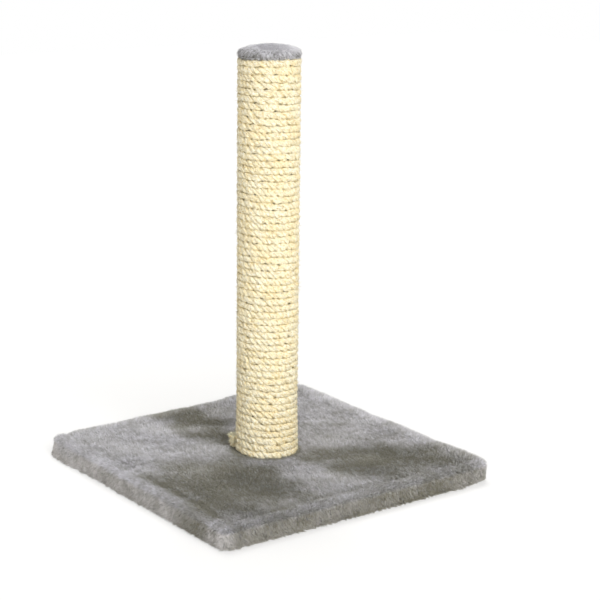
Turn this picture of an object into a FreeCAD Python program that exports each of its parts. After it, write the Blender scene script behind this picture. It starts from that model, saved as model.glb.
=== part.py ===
import FreeCAD, Part
import math
import os

from FreeCAD import Placement, Rotation, Vector

# A scratching post for a cat: a post wound with sisal rope, bolted upright on the middle of a
# square board covered in plush, with a plush cap on its top.
# Millimetres, +Z up. The origin is the middle of the base on the floor, and X and Y run along
# the sides of the base.

# Gaps and cuts
SEAT_GAP = 0.3  # between curved or soft faces that rest against each other
PLUG_GAP = 0.2  # round a plug inside the tube
PIERCE_GAP = 0.1  # round a staple or a prong in the hole that it made
BOLT_GAP = 0.5  # round the bolt in its holes
THREAD_GAP = 0.1  # round the bolt in the tee nut
OVERRUN = 1.0  # how far a cut runs past the face that it opens

# Base board
BOARD_SIDE = 450.0
BOARD_THICKNESS = 18.0
BOARD_CORNER_RADIUS = 6.0
HEAD_RECESS_DIAMETER = 34.0
HEAD_RECESS_DEPTH = 9.0

# Plush cover of the base
COVER_SIDE_THICKNESS = 8.0
COVER_TOP_THICKNESS = 9.5
COVER_CRUSHED_THICKNESS = 3.0  # under the foot of the post
COVER_CORNER_RADIUS = 14.0
COVER_TOP_EDGE_RADIUS = 8.0
COVER_FLOOR_EDGE_RADIUS = 2.5
HEM_THICKNESS = 3.5
HEM_WIDTH = 35.0
HEM_MITRE_WIDTH = 1.5

# Staples
STAPLE_WIDTH = 10.0
STAPLE_LEG = 12.0
STAPLE_WIRE_WIDTH = 1.2
STAPLE_WIRE_THICKNESS = 0.6
STAPLE_SINK = 0.3  # how far the crown lies below the surface
HEM_STAPLES_PER_SIDE = 9
HEM_STAPLE_INSET = 22.0  # from the edge of the board
HEM_STAPLE_CORNER_INSET = 45.0  # the first staple of a side, from the corner of the board
PLUG_STAPLES = 6

# Post
TUBE_OUTER_DIAMETER = 70.0
TUBE_WALL = 4.0
TUBE_LENGTH = 582.0
BOTTOM_PLUG_LENGTH = 35.0
TOP_PLUG_LENGTH = 25.0
PLUG_CHAMFER = 1.5
FLANGE_OVERHANG = 2.0  # past the outside of the tube
FLANGE_THICKNESS = 5.0

# Plush cap
CAP_HEM_THICKNESS = 2.5
CAP_TOP_THICKNESS = 7.5
CAP_PROUD = 0.35  # past the outside of the rope
CAP_LIP_HEIGHT = 0.8
CAP_SHOULDER_RADIUS = 10.0

# Bolt, washer and tee nut
BOLT_DIAMETER = 8.0
BOLT_PROUD = 4.5  # past the tee nut
BOLT_TIP_CHAMFER = 1.0
BOLT_HEAD_FLATS = 13.0
BOLT_HEAD_HEIGHT = 5.3
BOLT_HEAD_FACE_SHARE = 0.95
BOLT_HEAD_CHAMFER_ANGLE = 30.0
WASHER_DIAMETER = 24.0
WASHER_THICKNESS = 2.0
TEE_FLANGE_DIAMETER = 22.0
TEE_FLANGE_THICKNESS = 1.5
TEE_BARREL_DIAMETER = 10.5
TEE_BARREL_LENGTH = 10.0
TEE_PRONGS = 4
TEE_PRONG_WIDTH = 3.5
TEE_PRONG_THICKNESS = 1.2
TEE_PRONG_LENGTH = 8.0

# Sisal rope, wound left-handed from the foot up
ROPE_DIAMETER = 9.35
ROPE_TURN_GAP = 0.45
ROPE_FOOT_ANGLE = 100.0  # where the lowest turn ends, from +X
ROPE_HEAD_ANGLE = 140.0  # where the highest turn ends
ROPE_SPANS = ("lower", "middle", "upper")
ROPE_ARC_POINTS = 7

# Heights
board_z = HEM_THICKNESS
board_top_z = board_z + BOARD_THICKNESS
cover_top_z = board_top_z + COVER_TOP_THICKNESS
foot_z = board_top_z + COVER_CRUSHED_THICKNESS
plug_top_z = foot_z + BOTTOM_PLUG_LENGTH
tee_top_z = plug_top_z + TEE_FLANGE_THICKNESS
tube_top_z = foot_z + TUBE_LENGTH
flange_z = tube_top_z + CAP_HEM_THICKNESS
flange_top_z = flange_z + FLANGE_THICKNESS
cap_top_z = flange_top_z + CAP_TOP_THICKNESS
washer_z = board_z + HEAD_RECESS_DEPTH - WASHER_THICKNESS

# Radii
tube_radius = TUBE_OUTER_DIAMETER / 2
plug_radius = tube_radius - TUBE_WALL - PLUG_GAP
flange_radius = tube_radius + FLANGE_OVERHANG
bolt_radius = BOLT_DIAMETER / 2
bolt_hole_radius = bolt_radius + BOLT_GAP
rope_radius = ROPE_DIAMETER / 2
winding_radius = tube_radius + SEAT_GAP + rope_radius
cap_radius = winding_radius + rope_radius + CAP_PROUD
foot_recess_radius = math.hypot(winding_radius, ROPE_DIAMETER) + rope_radius + SEAT_GAP

# Winding
closest_pitch = ROPE_DIAMETER + ROPE_TURN_GAP
rope_end_rise = ROPE_DIAMETER * closest_pitch / math.hypot(2 * math.pi * winding_radius, closest_pitch)
winding_foot_z = foot_z + SEAT_GAP + rope_radius + rope_end_rise
winding_rise = tube_top_z - SEAT_GAP - rope_radius - rope_end_rise - winding_foot_z
last_turn = (ROPE_FOOT_ANGLE - ROPE_HEAD_ANGLE) / 360 % 1
rope_turns = math.floor(winding_rise / closest_pitch - last_turn) + last_turn
quarter_turns = math.ceil(4 * rope_turns)
quarter_angle = 2 * math.pi * rope_turns / quarter_turns
quarter_rise = winding_rise / quarter_turns


def cylinder(radius, height, z):
    """Upright cylinder on the axis of the post."""
    return Part.makeCylinder(radius, height, Vector(0, 0, z))


def is_upright(edge):
    """True for a straight edge along Z."""
    way = edge.tangentAt(edge.FirstParameter)
    return abs(way.z) > math.hypot(way.x, way.y)


def edges_at(shape, z):
    """Edges that lie level at a height."""
    return [edge for edge in shape.Edges if math.isclose(edge.CenterOfMass.z, z, abs_tol=edge.Tolerance)]


def rounded_slab(side, height, corner_radius, z):
    """Square slab with rounded upright corners, centred on the axis."""
    slab = Part.makeBox(side, side, height, Vector(-side / 2, -side / 2, z))
    return slab.makeFillet(corner_radius, [edge for edge in slab.Edges if is_upright(edge)])


def staple(gap, opening):
    """Staple with its crown along X and its legs along +Z.

    A gap swells it into the hole that it makes, and an opening carries the crown outwards.
    """
    half_width = STAPLE_WIDTH / 2 + gap
    wire_width = STAPLE_WIRE_WIDTH + 2 * gap
    leg_thickness = STAPLE_WIRE_THICKNESS + 2 * gap
    crown_depth = STAPLE_WIRE_THICKNESS + gap + opening
    crown_corner = Vector(-half_width, -wire_width / 2, -opening)
    crown = Part.makeBox(2 * half_width, wire_width, crown_depth, crown_corner)
    legs = [
        Part.makeBox(leg_thickness, wire_width, STAPLE_LEG + gap, Vector(x, -wire_width / 2, 0))
        for x in (-half_width, half_width - leg_thickness)
    ]
    return crown.multiFuse(legs).removeSplitter()


def placed(shape, placements):
    """Copies of a shape at each of the placements."""
    copies = []
    for placement in placements:
        copy = shape.copy()
        copy.Placement = placement
        copies.append(copy)
    return copies


def hem_staple_places():
    """Staples along the four sides of the hem, driven upwards."""
    reach = BOARD_SIDE / 2 - HEM_STAPLE_CORNER_INSET
    step = 2 * reach / (HEM_STAPLES_PER_SIDE - 1)
    line = BOARD_SIDE / 2 - HEM_STAPLE_INSET
    places = []
    for side in range(4):
        turn = Rotation(Vector(0, 0, 1), 90 * side)
        for index in range(HEM_STAPLES_PER_SIDE):
            point = Vector(index * step - reach, -line, STAPLE_SINK)
            places.append(Placement(turn.multVec(point), turn))
    return places


def plug_staple_places(z):
    """Staples round the tube at a height, driven inwards with upright crowns."""
    places = []
    for index in range(PLUG_STAPLES):
        angle = 2 * math.pi * index / PLUG_STAPLES
        outward = Vector(math.cos(angle), math.sin(angle), 0)
        point = outward * (tube_radius - STAPLE_SINK) + Vector(0, 0, z)
        places.append(Placement(point, Rotation(Vector(0, 0, 1), Vector(), outward * -1, "ZXY")))
    return places


def staple_holes(places):
    """The holes that a group of staples makes."""
    return placed(staple(PIERCE_GAP, STAPLE_SINK + OVERRUN), places)


hem_places = hem_staple_places()
bottom_places = plug_staple_places(foot_z + BOTTOM_PLUG_LENGTH / 2)
top_places = plug_staple_places(tube_top_z - TOP_PLUG_LENGTH / 2)


def base_board():
    """Square board with the bolt's hole, and a recess below for its head."""
    board = rounded_slab(BOARD_SIDE, BOARD_THICKNESS, BOARD_CORNER_RADIUS, board_z)
    recess = cylinder(HEAD_RECESS_DIAMETER / 2, HEAD_RECESS_DEPTH + OVERRUN, board_z - OVERRUN)
    hole = cylinder(bolt_hole_radius, BOARD_THICKNESS + 2 * OVERRUN, board_z - OVERRUN)
    return board.cut([recess, hole] + staple_holes(hem_places))


def hem_mitres():
    """Slits where the hem's folded sides meet at the corners."""
    inner = BOARD_SIDE / 2 - HEM_WIDTH
    start = math.sqrt(2) * inner - HEM_MITRE_WIDTH
    length = math.sqrt(2) * (HEM_WIDTH - BOARD_CORNER_RADIUS) + HEM_MITRE_WIDTH
    slit = Part.makeBox(
        length, HEM_MITRE_WIDTH, HEM_THICKNESS + OVERRUN, Vector(start, -HEM_MITRE_WIDTH / 2, -OVERRUN)
    )
    corners = [Rotation(Vector(0, 0, 1), 45 + 90 * corner) for corner in range(4)]
    return placed(slit, [Placement(Vector(), corner) for corner in corners])


def base_cover():
    """Plush over the board's top and edges, turned under as a hem and crushed below the post."""
    side = BOARD_SIDE + 2 * (SEAT_GAP + COVER_SIDE_THICKNESS)
    cover = rounded_slab(side, cover_top_z, COVER_CORNER_RADIUS, 0)
    cover = cover.makeFillet(COVER_TOP_EDGE_RADIUS, edges_at(cover, cover_top_z))
    cover = cover.makeFillet(COVER_FLOOR_EDGE_RADIUS, edges_at(cover, 0))
    board_space = rounded_slab(
        BOARD_SIDE + 2 * SEAT_GAP, BOARD_THICKNESS, BOARD_CORNER_RADIUS + SEAT_GAP, board_z
    )
    open_side = BOARD_SIDE - 2 * HEM_WIDTH
    opening = Part.makeBox(
        open_side, open_side, HEM_THICKNESS + 2 * OVERRUN, Vector(-open_side / 2, -open_side / 2, -OVERRUN)
    )
    foot_recess = cylinder(foot_recess_radius, cover_top_z - foot_z + OVERRUN, foot_z)
    hole = cylinder(bolt_hole_radius, COVER_CRUSHED_THICKNESS + 2 * OVERRUN, board_top_z - OVERRUN)
    return cover.cut([board_space, opening, foot_recess, hole] + hem_mitres() + staple_holes(hem_places))


def post_tube():
    """Tube that the rope is wound on."""
    tube = cylinder(tube_radius, TUBE_LENGTH, foot_z)
    bore = cylinder(tube_radius - TUBE_WALL, TUBE_LENGTH + 2 * OVERRUN, foot_z - OVERRUN)
    return tube.cut([bore] + staple_holes(bottom_places) + staple_holes(top_places))


def tee_prong(gap):
    """One pointed prong of the tee nut, and with a gap the hole that it makes."""
    half_width = TEE_PRONG_WIDTH / 2 + gap
    inner = TEE_FLANGE_DIAMETER / 2 - TEE_PRONG_THICKNESS - gap
    corners = [
        Vector(inner, -half_width, plug_top_z),
        Vector(inner, half_width, plug_top_z),
        Vector(inner, 0, plug_top_z - TEE_PRONG_LENGTH - gap),
    ]
    face = Part.Face(Part.makePolygon(corners + corners[:1]))
    return face.extrude(Vector(TEE_PRONG_THICKNESS + 2 * gap, 0, 0))


def tee_prongs(gap):
    """The prongs round the tee nut's flange."""
    turns = [Rotation(Vector(0, 0, 1), 360 * index / TEE_PRONGS) for index in range(TEE_PRONGS)]
    return placed(tee_prong(gap), [Placement(Vector(), turn) for turn in turns])


def tee_nut():
    """Tee nut: a flange on the bottom plug, with a barrel and prongs sunk into it."""
    flange = cylinder(TEE_FLANGE_DIAMETER / 2, TEE_FLANGE_THICKNESS, plug_top_z)
    barrel = cylinder(TEE_BARREL_DIAMETER / 2, TEE_BARREL_LENGTH, plug_top_z - TEE_BARREL_LENGTH)
    bore_length = TEE_BARREL_LENGTH + TEE_FLANGE_THICKNESS + 2 * OVERRUN
    bore = cylinder(bolt_radius + THREAD_GAP, bore_length, plug_top_z - TEE_BARREL_LENGTH - OVERRUN)
    return flange.multiFuse([barrel] + tee_prongs(0)).removeSplitter().cut(bore)


def bottom_plug():
    """Wooden disc in the tube's lower end, bored for the bolt and the tee nut."""
    plug = cylinder(plug_radius, BOTTOM_PLUG_LENGTH, foot_z)
    plug = plug.makeChamfer(PLUG_CHAMFER, edges_at(plug, plug_top_z))
    hole = cylinder(bolt_hole_radius, BOTTOM_PLUG_LENGTH + 2 * OVERRUN, foot_z - OVERRUN)
    barrel_depth = TEE_BARREL_LENGTH + PIERCE_GAP
    barrel_hole = cylinder(
        TEE_BARREL_DIAMETER / 2 + PIERCE_GAP, barrel_depth + OVERRUN, plug_top_z - barrel_depth
    )
    return plug.cut([hole, barrel_hole] + tee_prongs(PIERCE_GAP) + staple_holes(bottom_places))


def top_plug():
    """Wooden disc whose flange closes the tube and holds down the cap's hem."""
    spigot_z = tube_top_z - TOP_PLUG_LENGTH
    spigot = cylinder(plug_radius, TOP_PLUG_LENGTH + CAP_HEM_THICKNESS, spigot_z)
    spigot = spigot.makeChamfer(PLUG_CHAMFER, edges_at(spigot, spigot_z))
    flange = cylinder(flange_radius, FLANGE_THICKNESS, flange_z)
    return spigot.fuse(flange).cut(staple_holes(top_places))


def cap_cover():
    """Domed plush over the top plug's flange, with its hem clamped on the rim of the tube."""
    shoulder_z = tube_top_z + CAP_LIP_HEIGHT
    shoulder_axis = cap_radius - CAP_SHOULDER_RADIUS
    crown_height = cap_top_z - shoulder_z
    crown_radius = (shoulder_axis**2 + crown_height**2 - CAP_SHOULDER_RADIUS**2) / (
        2 * (crown_height - CAP_SHOULDER_RADIUS)
    )
    shoulder_centre = Vector(shoulder_axis, 0, shoulder_z)
    crown_centre = Vector(0, 0, cap_top_z - crown_radius)
    slope = math.atan2(shoulder_centre.x, shoulder_centre.z - crown_centre.z)

    def on_crown(share):
        angle = slope * share
        return crown_centre + Vector(math.sin(angle), 0, math.cos(angle)) * crown_radius

    def on_shoulder(share):
        angle = slope + (math.pi / 2 - slope) * share
        return shoulder_centre + Vector(math.sin(angle), 0, math.cos(angle)) * CAP_SHOULDER_RADIUS

    crown = Part.Arc(on_crown(0), on_crown(0.5), on_crown(1)).toShape()
    shoulder = Part.Arc(on_crown(1), on_shoulder(0.5), on_shoulder(1)).toShape()
    inside = Part.makePolygon(
        [
            on_shoulder(1),
            Vector(cap_radius, 0, tube_top_z),
            Vector(plug_radius + SEAT_GAP, 0, tube_top_z),
            Vector(plug_radius + SEAT_GAP, 0, flange_z),
            Vector(flange_radius + SEAT_GAP, 0, flange_z),
            Vector(flange_radius + SEAT_GAP, 0, flange_top_z),
            Vector(0, 0, flange_top_z),
            on_crown(0),
        ]
    )
    outline = Part.Wire(Part.sortEdges([crown, shoulder] + inside.Edges)[0])
    return Part.Face(outline).revolve(Vector(), Vector(0, 0, 1), 360)


def post_bolt():
    """Hexagon bolt from the recess below the board up through the tee nut."""
    head_z = washer_z - BOLT_HEAD_HEIGHT
    corner_radius = BOLT_HEAD_FLATS / math.sqrt(3)
    turns = [Rotation(Vector(0, 0, 1), 60 * index) for index in range(6)]
    corners = [turn.multVec(Vector(corner_radius, 0, head_z)) for turn in turns]
    prism = Part.Face(Part.makePolygon(corners + corners[:1])).extrude(Vector(0, 0, BOLT_HEAD_HEIGHT))
    face_radius = BOLT_HEAD_FACE_SHARE * BOLT_HEAD_FLATS / 2
    spread = BOLT_HEAD_HEIGHT / math.tan(math.radians(BOLT_HEAD_CHAMFER_ANGLE))
    cone = Part.makeCone(face_radius, face_radius + spread, BOLT_HEAD_HEIGHT, Vector(0, 0, head_z))
    shank = cylinder(bolt_radius, tee_top_z + BOLT_PROUD - washer_z, washer_z)
    shank = shank.makeChamfer(BOLT_TIP_CHAMFER, edges_at(shank, tee_top_z + BOLT_PROUD))
    return prism.common(cone).fuse(shank)


def bolt_washer():
    """Flat washer between the bolt's head and the board."""
    washer = cylinder(WASHER_DIAMETER / 2, WASHER_THICKNESS, washer_z)
    return washer.cut(cylinder(bolt_hole_radius, WASHER_THICKNESS + 2 * OVERRUN, washer_z - OVERRUN))


def winding_point(step):
    """The rope's centreline after a number of quarter turns up from its foot."""
    angle = math.radians(ROPE_FOOT_ANGLE) - step * quarter_angle
    height = winding_foot_z + step * quarter_rise
    return Vector(winding_radius * math.cos(angle), winding_radius * math.sin(angle), height)


def winding_direction(step):
    """The way that the rope runs there, upwards."""
    angle = math.radians(ROPE_FOOT_ANGLE) - step * quarter_angle
    quarter_run = winding_radius * quarter_angle
    direction = Vector(quarter_run * math.sin(angle), -quarter_run * math.cos(angle), quarter_rise)
    return direction.normalize()


def arc_between(start, corner, end):
    """Arc from start to end whose end tangents meet at the corner."""
    middle = (start + end) * 0.5
    half_chord = (end - start).Length / 2
    height = (corner - middle).Length
    sagitta = half_chord * math.tan(math.atan2(height, half_chord) / 2)
    return Part.Arc(start, middle + (corner - middle) * (sagitta / height), end).toShape()


def quarter_turn(step):
    """A quarter turn of the rope's centreline, as two arcs that share a tangent."""
    start = winding_point(step)
    end = winding_point(step + 1)
    start_way = winding_direction(step)
    end_way = winding_direction(step + 1)
    chord = end - start
    both_ways = start_way + end_way
    quadratic = both_ways.dot(both_ways) - 4
    linear = chord.dot(both_ways)
    reach = (linear - math.sqrt(linear**2 - quadratic * chord.dot(chord))) / quadratic
    start_corner = start + start_way * reach
    end_corner = end - end_way * reach
    joint = (start_corner + end_corner) * 0.5
    return [arc_between(start, start_corner, joint), arc_between(joint, end_corner, end)]


def span_path(index):
    """Centreline of one span of the winding, straight for a diameter at the rope's two ends."""
    first = quarter_turns * index // len(ROPE_SPANS)
    last = quarter_turns * (index + 1) // len(ROPE_SPANS)
    edges = []
    for step in range(first, last):
        edges += quarter_turn(step)
    if first == 0:
        foot = winding_point(first)
        edges.insert(0, Part.makeLine(foot - winding_direction(first) * ROPE_DIAMETER, foot))
    if last == quarter_turns:
        head = winding_point(last)
        edges.append(Part.makeLine(head, head + winding_direction(last) * ROPE_DIAMETER))
    return Part.Wire(edges)


def rope_span(path):
    """Unbroken tube of rope along a centreline."""
    start_edge = path.OrderedEdges[0]
    start = start_edge.valueAt(start_edge.FirstParameter)
    way = start_edge.tangentAt(start_edge.FirstParameter)
    section = Part.Wire([Part.Circle(start, way, rope_radius).toShape()])
    tube = path.makePipeShell([section], True, False)
    tube_share = tube.Volume / (math.pi * rope_radius**2 * path.Length)
    print(f"rope span: {path.Length:.0f} mm long, volume over section times length {tube_share:.4f}")
    return tube


def least_turn_gap(paths):
    """Least gap between neighbouring turns of the rope, measured on points along its centreline."""
    points = []
    for path in paths:
        for edge in path.OrderedEdges:
            points += edge.discretize(ROPE_ARC_POINTS)[:-1]
    turn_points = 8 * (ROPE_ARC_POINTS - 1)
    least = math.inf
    for index, point in enumerate(points):
        for other in points[index + turn_points // 2 : index + 2 * turn_points]:
            least = min(least, point.distanceToPoint(other))
    return least - ROPE_DIAMETER


def build():
    """All the pieces by name."""
    pieces = {
        "base_board": base_board(),
        "base_cover": base_cover(),
        "base_staples": Part.makeCompound(placed(staple(0, 0), hem_places)),
        "post_bolt": post_bolt(),
        "bolt_washer": bolt_washer(),
        "tee_nut": tee_nut(),
        "post_tube": post_tube(),
        "bottom_plug": bottom_plug(),
        "bottom_plug_staples": Part.makeCompound(placed(staple(0, 0), bottom_places)),
        "top_plug": top_plug(),
        "top_plug_staples": Part.makeCompound(placed(staple(0, 0), top_places)),
        "cap_cover": cap_cover(),
    }
    paths = [span_path(index) for index in range(len(ROPE_SPANS))]
    for name, path in zip(ROPE_SPANS, paths):
        pieces[f"sisal_rope_{name}"] = rope_span(path)
    print(f"rope: {rope_turns:.2f} turns, least gap between turns {least_turn_gap(paths):.3f} mm")
    return pieces


os.makedirs("parts", exist_ok=True)
for node, shape in build().items():
    print(f"{node}: {len(shape.Solids)} solids, {shape.Volume / 1000:.2f} cm3, valid {shape.isValid()}")
    shape.exportStep(f"parts/{node}.step")
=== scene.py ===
"""Cat scratcher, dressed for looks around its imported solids.

A square board is covered in grey plush, a post wound with sisal rope stands in its middle, and a domed
plush cap closes the post. The plush is a thin cloth with a pile of small tufts, and the rope is three
twisted strands. Lengths are in metres, and a name that ends in deg is an angle in degrees.
"""

import logging
import math
from dataclasses import dataclass
from enum import Enum, IntEnum

import bpy
import numpy as np
from mathutils import Matrix, Vector
from mathutils.kdtree import KDTree


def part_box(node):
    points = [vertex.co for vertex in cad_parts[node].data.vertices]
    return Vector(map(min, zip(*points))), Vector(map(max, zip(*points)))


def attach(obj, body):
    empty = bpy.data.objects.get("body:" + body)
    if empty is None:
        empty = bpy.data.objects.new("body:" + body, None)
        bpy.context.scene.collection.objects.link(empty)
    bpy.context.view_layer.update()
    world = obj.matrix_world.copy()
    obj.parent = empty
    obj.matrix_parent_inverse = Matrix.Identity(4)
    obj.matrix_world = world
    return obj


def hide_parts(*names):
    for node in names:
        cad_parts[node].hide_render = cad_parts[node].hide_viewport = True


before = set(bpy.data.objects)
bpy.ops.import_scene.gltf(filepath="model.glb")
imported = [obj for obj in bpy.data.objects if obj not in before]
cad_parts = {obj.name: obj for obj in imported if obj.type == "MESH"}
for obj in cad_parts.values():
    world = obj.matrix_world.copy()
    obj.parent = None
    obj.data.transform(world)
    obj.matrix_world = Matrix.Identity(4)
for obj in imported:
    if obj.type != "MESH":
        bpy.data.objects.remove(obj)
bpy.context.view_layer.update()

Colour = tuple[float, float, float]
Scales = tuple[float, float, float]
Span = tuple[float, float]
Socket = bpy.types.NodeSocket
Piece = bpy.types.Object

LOG = logging.getLogger("cat_scratcher")
BODY = "root"
TINT = "tint"
GRAIN = "grain"
WHITE: Colour = (1.0, 1.0, 1.0)
QUARTER_DEG = 90.0
TURN_DEG = 360.0
UP = np.array([0.0, 0.0, 1.0])
LEVEL = np.array([1.0, 1.0, 0.0])


class Hand(Enum):
    """The way a helix turns as it goes away from the eye."""

    LEFT = -1
    RIGHT = 1


class Slot(Enum):
    """Names of the record's plush and sisal material slots."""

    PLUSH = "plush"
    SISAL = "sisal"


class Stretch(Enum):
    """The rope's three stretches, from the base up."""

    LOWER = "lower"
    MIDDLE = "middle"
    UPPER = "upper"


class Coordinates(Enum):
    """What a texture follows: the piece's own space, or the way along and round a strand."""

    OBJECT = "Object"
    STRAND = "UV"


class Draw(IntEnum):
    """Seeds of the random draws; one that is drawn for each axis or strand is the first of three."""

    RUMPLE = 11
    NAP_SWING = 12
    SWAY = 13
    PATCH_WARP = 14
    STREAKS = 17
    FLECKS = 18
    LENGTHS = 19
    BASE_PILE = 21
    BASE_TURN = 22
    FRINGE = 23
    CAP_PILE = 31
    CAP_FLECKS = 32
    CAP_TURN = 33
    WANDER = 39
    STRAND_LAY = 40
    STRAND_OFFSET = 50
    STRAND_SIZE = 60
    BITE = 64
    LUMPS = 65
    LOOSE_FIBRES = 71
    STRAY_TURN = 72
    FRAY_TURN = 73


# Small helpers for arrays of points

def unit(vectors: np.ndarray) -> np.ndarray:
    """Scale vectors to length one.

    Args:
        vectors: array whose last axis is the vectors' own.

    Returns:
        The unit vectors.
    """
    smallest = 1e-12
    return vectors / np.linalg.norm(vectors, axis=-1, keepdims=True).clip(smallest)


def radial(points: np.ndarray) -> np.ndarray:
    """Return the level unit vectors from the post's axis to the points."""
    return unit(points * LEVEL)


def from_axis(points: np.ndarray) -> np.ndarray:
    """Return how far the points lie from the post's axis."""
    return np.linalg.norm(points[..., :2], axis=-1)


def level_way(heading_deg: float) -> np.ndarray:
    """Return the level unit vector along a heading that is counted from +X towards +Y."""
    heading = math.radians(heading_deg)
    return np.array([math.cos(heading), math.sin(heading), 0.0])


def quarter_arc(steps: int) -> np.ndarray:
    """Return even angles from nothing to a right angle, in radians."""
    return np.radians(np.linspace(0.0, QUARTER_DEG, steps))


def ease(values: np.ndarray, low: float, high: float) -> np.ndarray:
    """Go smoothly from 0 at low to 1 at high.

    Args:
        values: where to read the curve.
        low: value at which the curve is 0.
        high: value at which the curve is 1; it may be less than low.

    Returns:
        The eased values, from 0 to 1.
    """
    share = np.clip((values - low) / (high - low), 0.0, 1.0)
    return share * share * (3.0 - 2.0 * share)


@dataclass(frozen=True)
class Fade:
    """A soft step, kept as a size of the piece that uses it.

    Attributes:
        low: value at which it is 0.
        high: value at which it is 1; it may be less than low.
    """

    low: float
    high: float

    def __call__(self, values: np.ndarray) -> np.ndarray:
        """Return the step, from 0 to 1, at each value."""
        return ease(values, self.low, self.high)


class Waves:
    """Soft seeded unevenness, a sum of waves that run every way."""

    # How fine the waves are, beside the middling one.
    FINENESS: Span = (0.6, 1.6)

    def __init__(self, seed: int, size: float, count: int = 14) -> None:
        """Draw the waves.

        Args:
            seed: number that fixes the draw.
            size: middling wavelength.
            count: how many waves are summed.
        """
        rng = np.random.default_rng(seed)
        heading = unit(rng.normal(size=(count, 3)))
        self.pull = heading * rng.uniform(*self.FINENESS, (count, 1)) * math.tau / size
        self.phase = rng.uniform(0.0, math.tau, count)

    def __call__(self, points: np.ndarray) -> np.ndarray:
        """Read the unevenness, about -2 to 2, at an array of points."""
        return np.sin(points @ self.pull.T + self.phase).sum(-1) / math.sqrt(0.5 * len(self.phase))


def mesh_piece(name: str, points: np.ndarray, smooth: list[np.ndarray],
               flat: list[np.ndarray] | None = None) -> Piece:
    """Make a mesh object from arrays.

    Args:
        name: the piece's name.
        points: vertices, (count, 3).
        smooth: arrays of vertex numbers, one face a row, shaded smooth.
        flat: arrays of faces that are shaded flat, such as cut ends.

    Returns:
        The new object, linked to the scene.
    """
    groups = [*smooth, *(flat or [])]
    mesh = bpy.data.meshes.new(name)
    mesh.vertices.add(len(points))
    mesh.vertices.foreach_set("co", np.ascontiguousarray(points, np.float32).ravel())
    corners = np.concatenate([group.ravel() for group in groups]).astype(np.int32)
    totals = np.concatenate([np.full(len(group), group.shape[1], np.int32) for group in groups])
    mesh.loops.add(len(corners))
    mesh.loops.foreach_set("vertex_index", corners)
    mesh.polygons.add(len(totals))
    mesh.polygons.foreach_set("loop_start", np.concatenate([[0], np.cumsum(totals)[:-1]]).astype(np.int32))
    mesh.polygons.foreach_set("loop_total", totals)
    rounded = np.ones(len(totals), bool)
    rounded[sum(len(group) for group in smooth):] = False
    mesh.polygons.foreach_set("use_smooth", rounded)
    mesh.update(calc_edges=True)
    piece = bpy.data.objects.new(name, mesh)
    bpy.context.scene.collection.objects.link(piece)
    return piece


def paint(piece: Piece, colours: np.ndarray) -> None:
    """Store a colour at each vertex for the finish to read.

    Args:
        piece: the mesh object.
        colours: linear colours, (vertex count, 3).
    """
    layer = piece.data.color_attributes.new(TINT, "FLOAT_COLOR", "POINT")
    values = np.ones((len(colours), 4), np.float32)
    values[:, :3] = colours
    layer.data.foreach_set("color", values.ravel())


def settle(piece: Piece, finish: "Finish") -> Piece:
    """Give a finished piece its material and the body it rides on, and report it.

    Args:
        piece: the mesh object.
        finish: what it is dressed in.

    Returns:
        The same piece.
    """
    piece.data.materials.append(finish.material())
    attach(piece, BODY)
    LOG.info("%s: %d faces", piece.name, len(piece.data.polygons))
    return piece


def ring_faces(rings: int, points: int, joined: bool = False) -> np.ndarray:
    """Number the quads between rings of points.

    Args:
        rings: how many rings follow one another.
        points: how many points each closed ring has.
        joined: whether the last ring joins the first.

    Returns:
        Quads, (count, 4).
    """
    ring = np.arange(rings if joined else rings - 1)[:, None]
    spot = np.arange(points)[None, :]
    here = ring * points
    after = (ring + 1) % rings * points
    following = (spot + 1) % points
    return np.stack([here + spot, here + following, after + following, after + spot], -1).reshape(-1, 4)


# Finishes

def seen_rays(tree: bpy.types.NodeTree) -> Socket:
    """Lay the rays that see the background: the eye's own, mirrored ones and ones through glass.

    Args:
        tree: the nodes to lay them among.

    Returns:
        An output that is 1 for such a ray and 0 for any other.
    """
    rays = tree.nodes.new("ShaderNodeLightPath")
    seen = rays.outputs["Is Camera Ray"]
    for other in ("Is Glossy Ray", "Is Transmission Ray"):
        either = tree.nodes.new("ShaderNodeMath")
        either.operation = "MAXIMUM"
        tree.links.new(seen, either.inputs[0])
        tree.links.new(rays.outputs[other], either.inputs[1])
        seen = either.outputs["Value"]
    return seen


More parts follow.
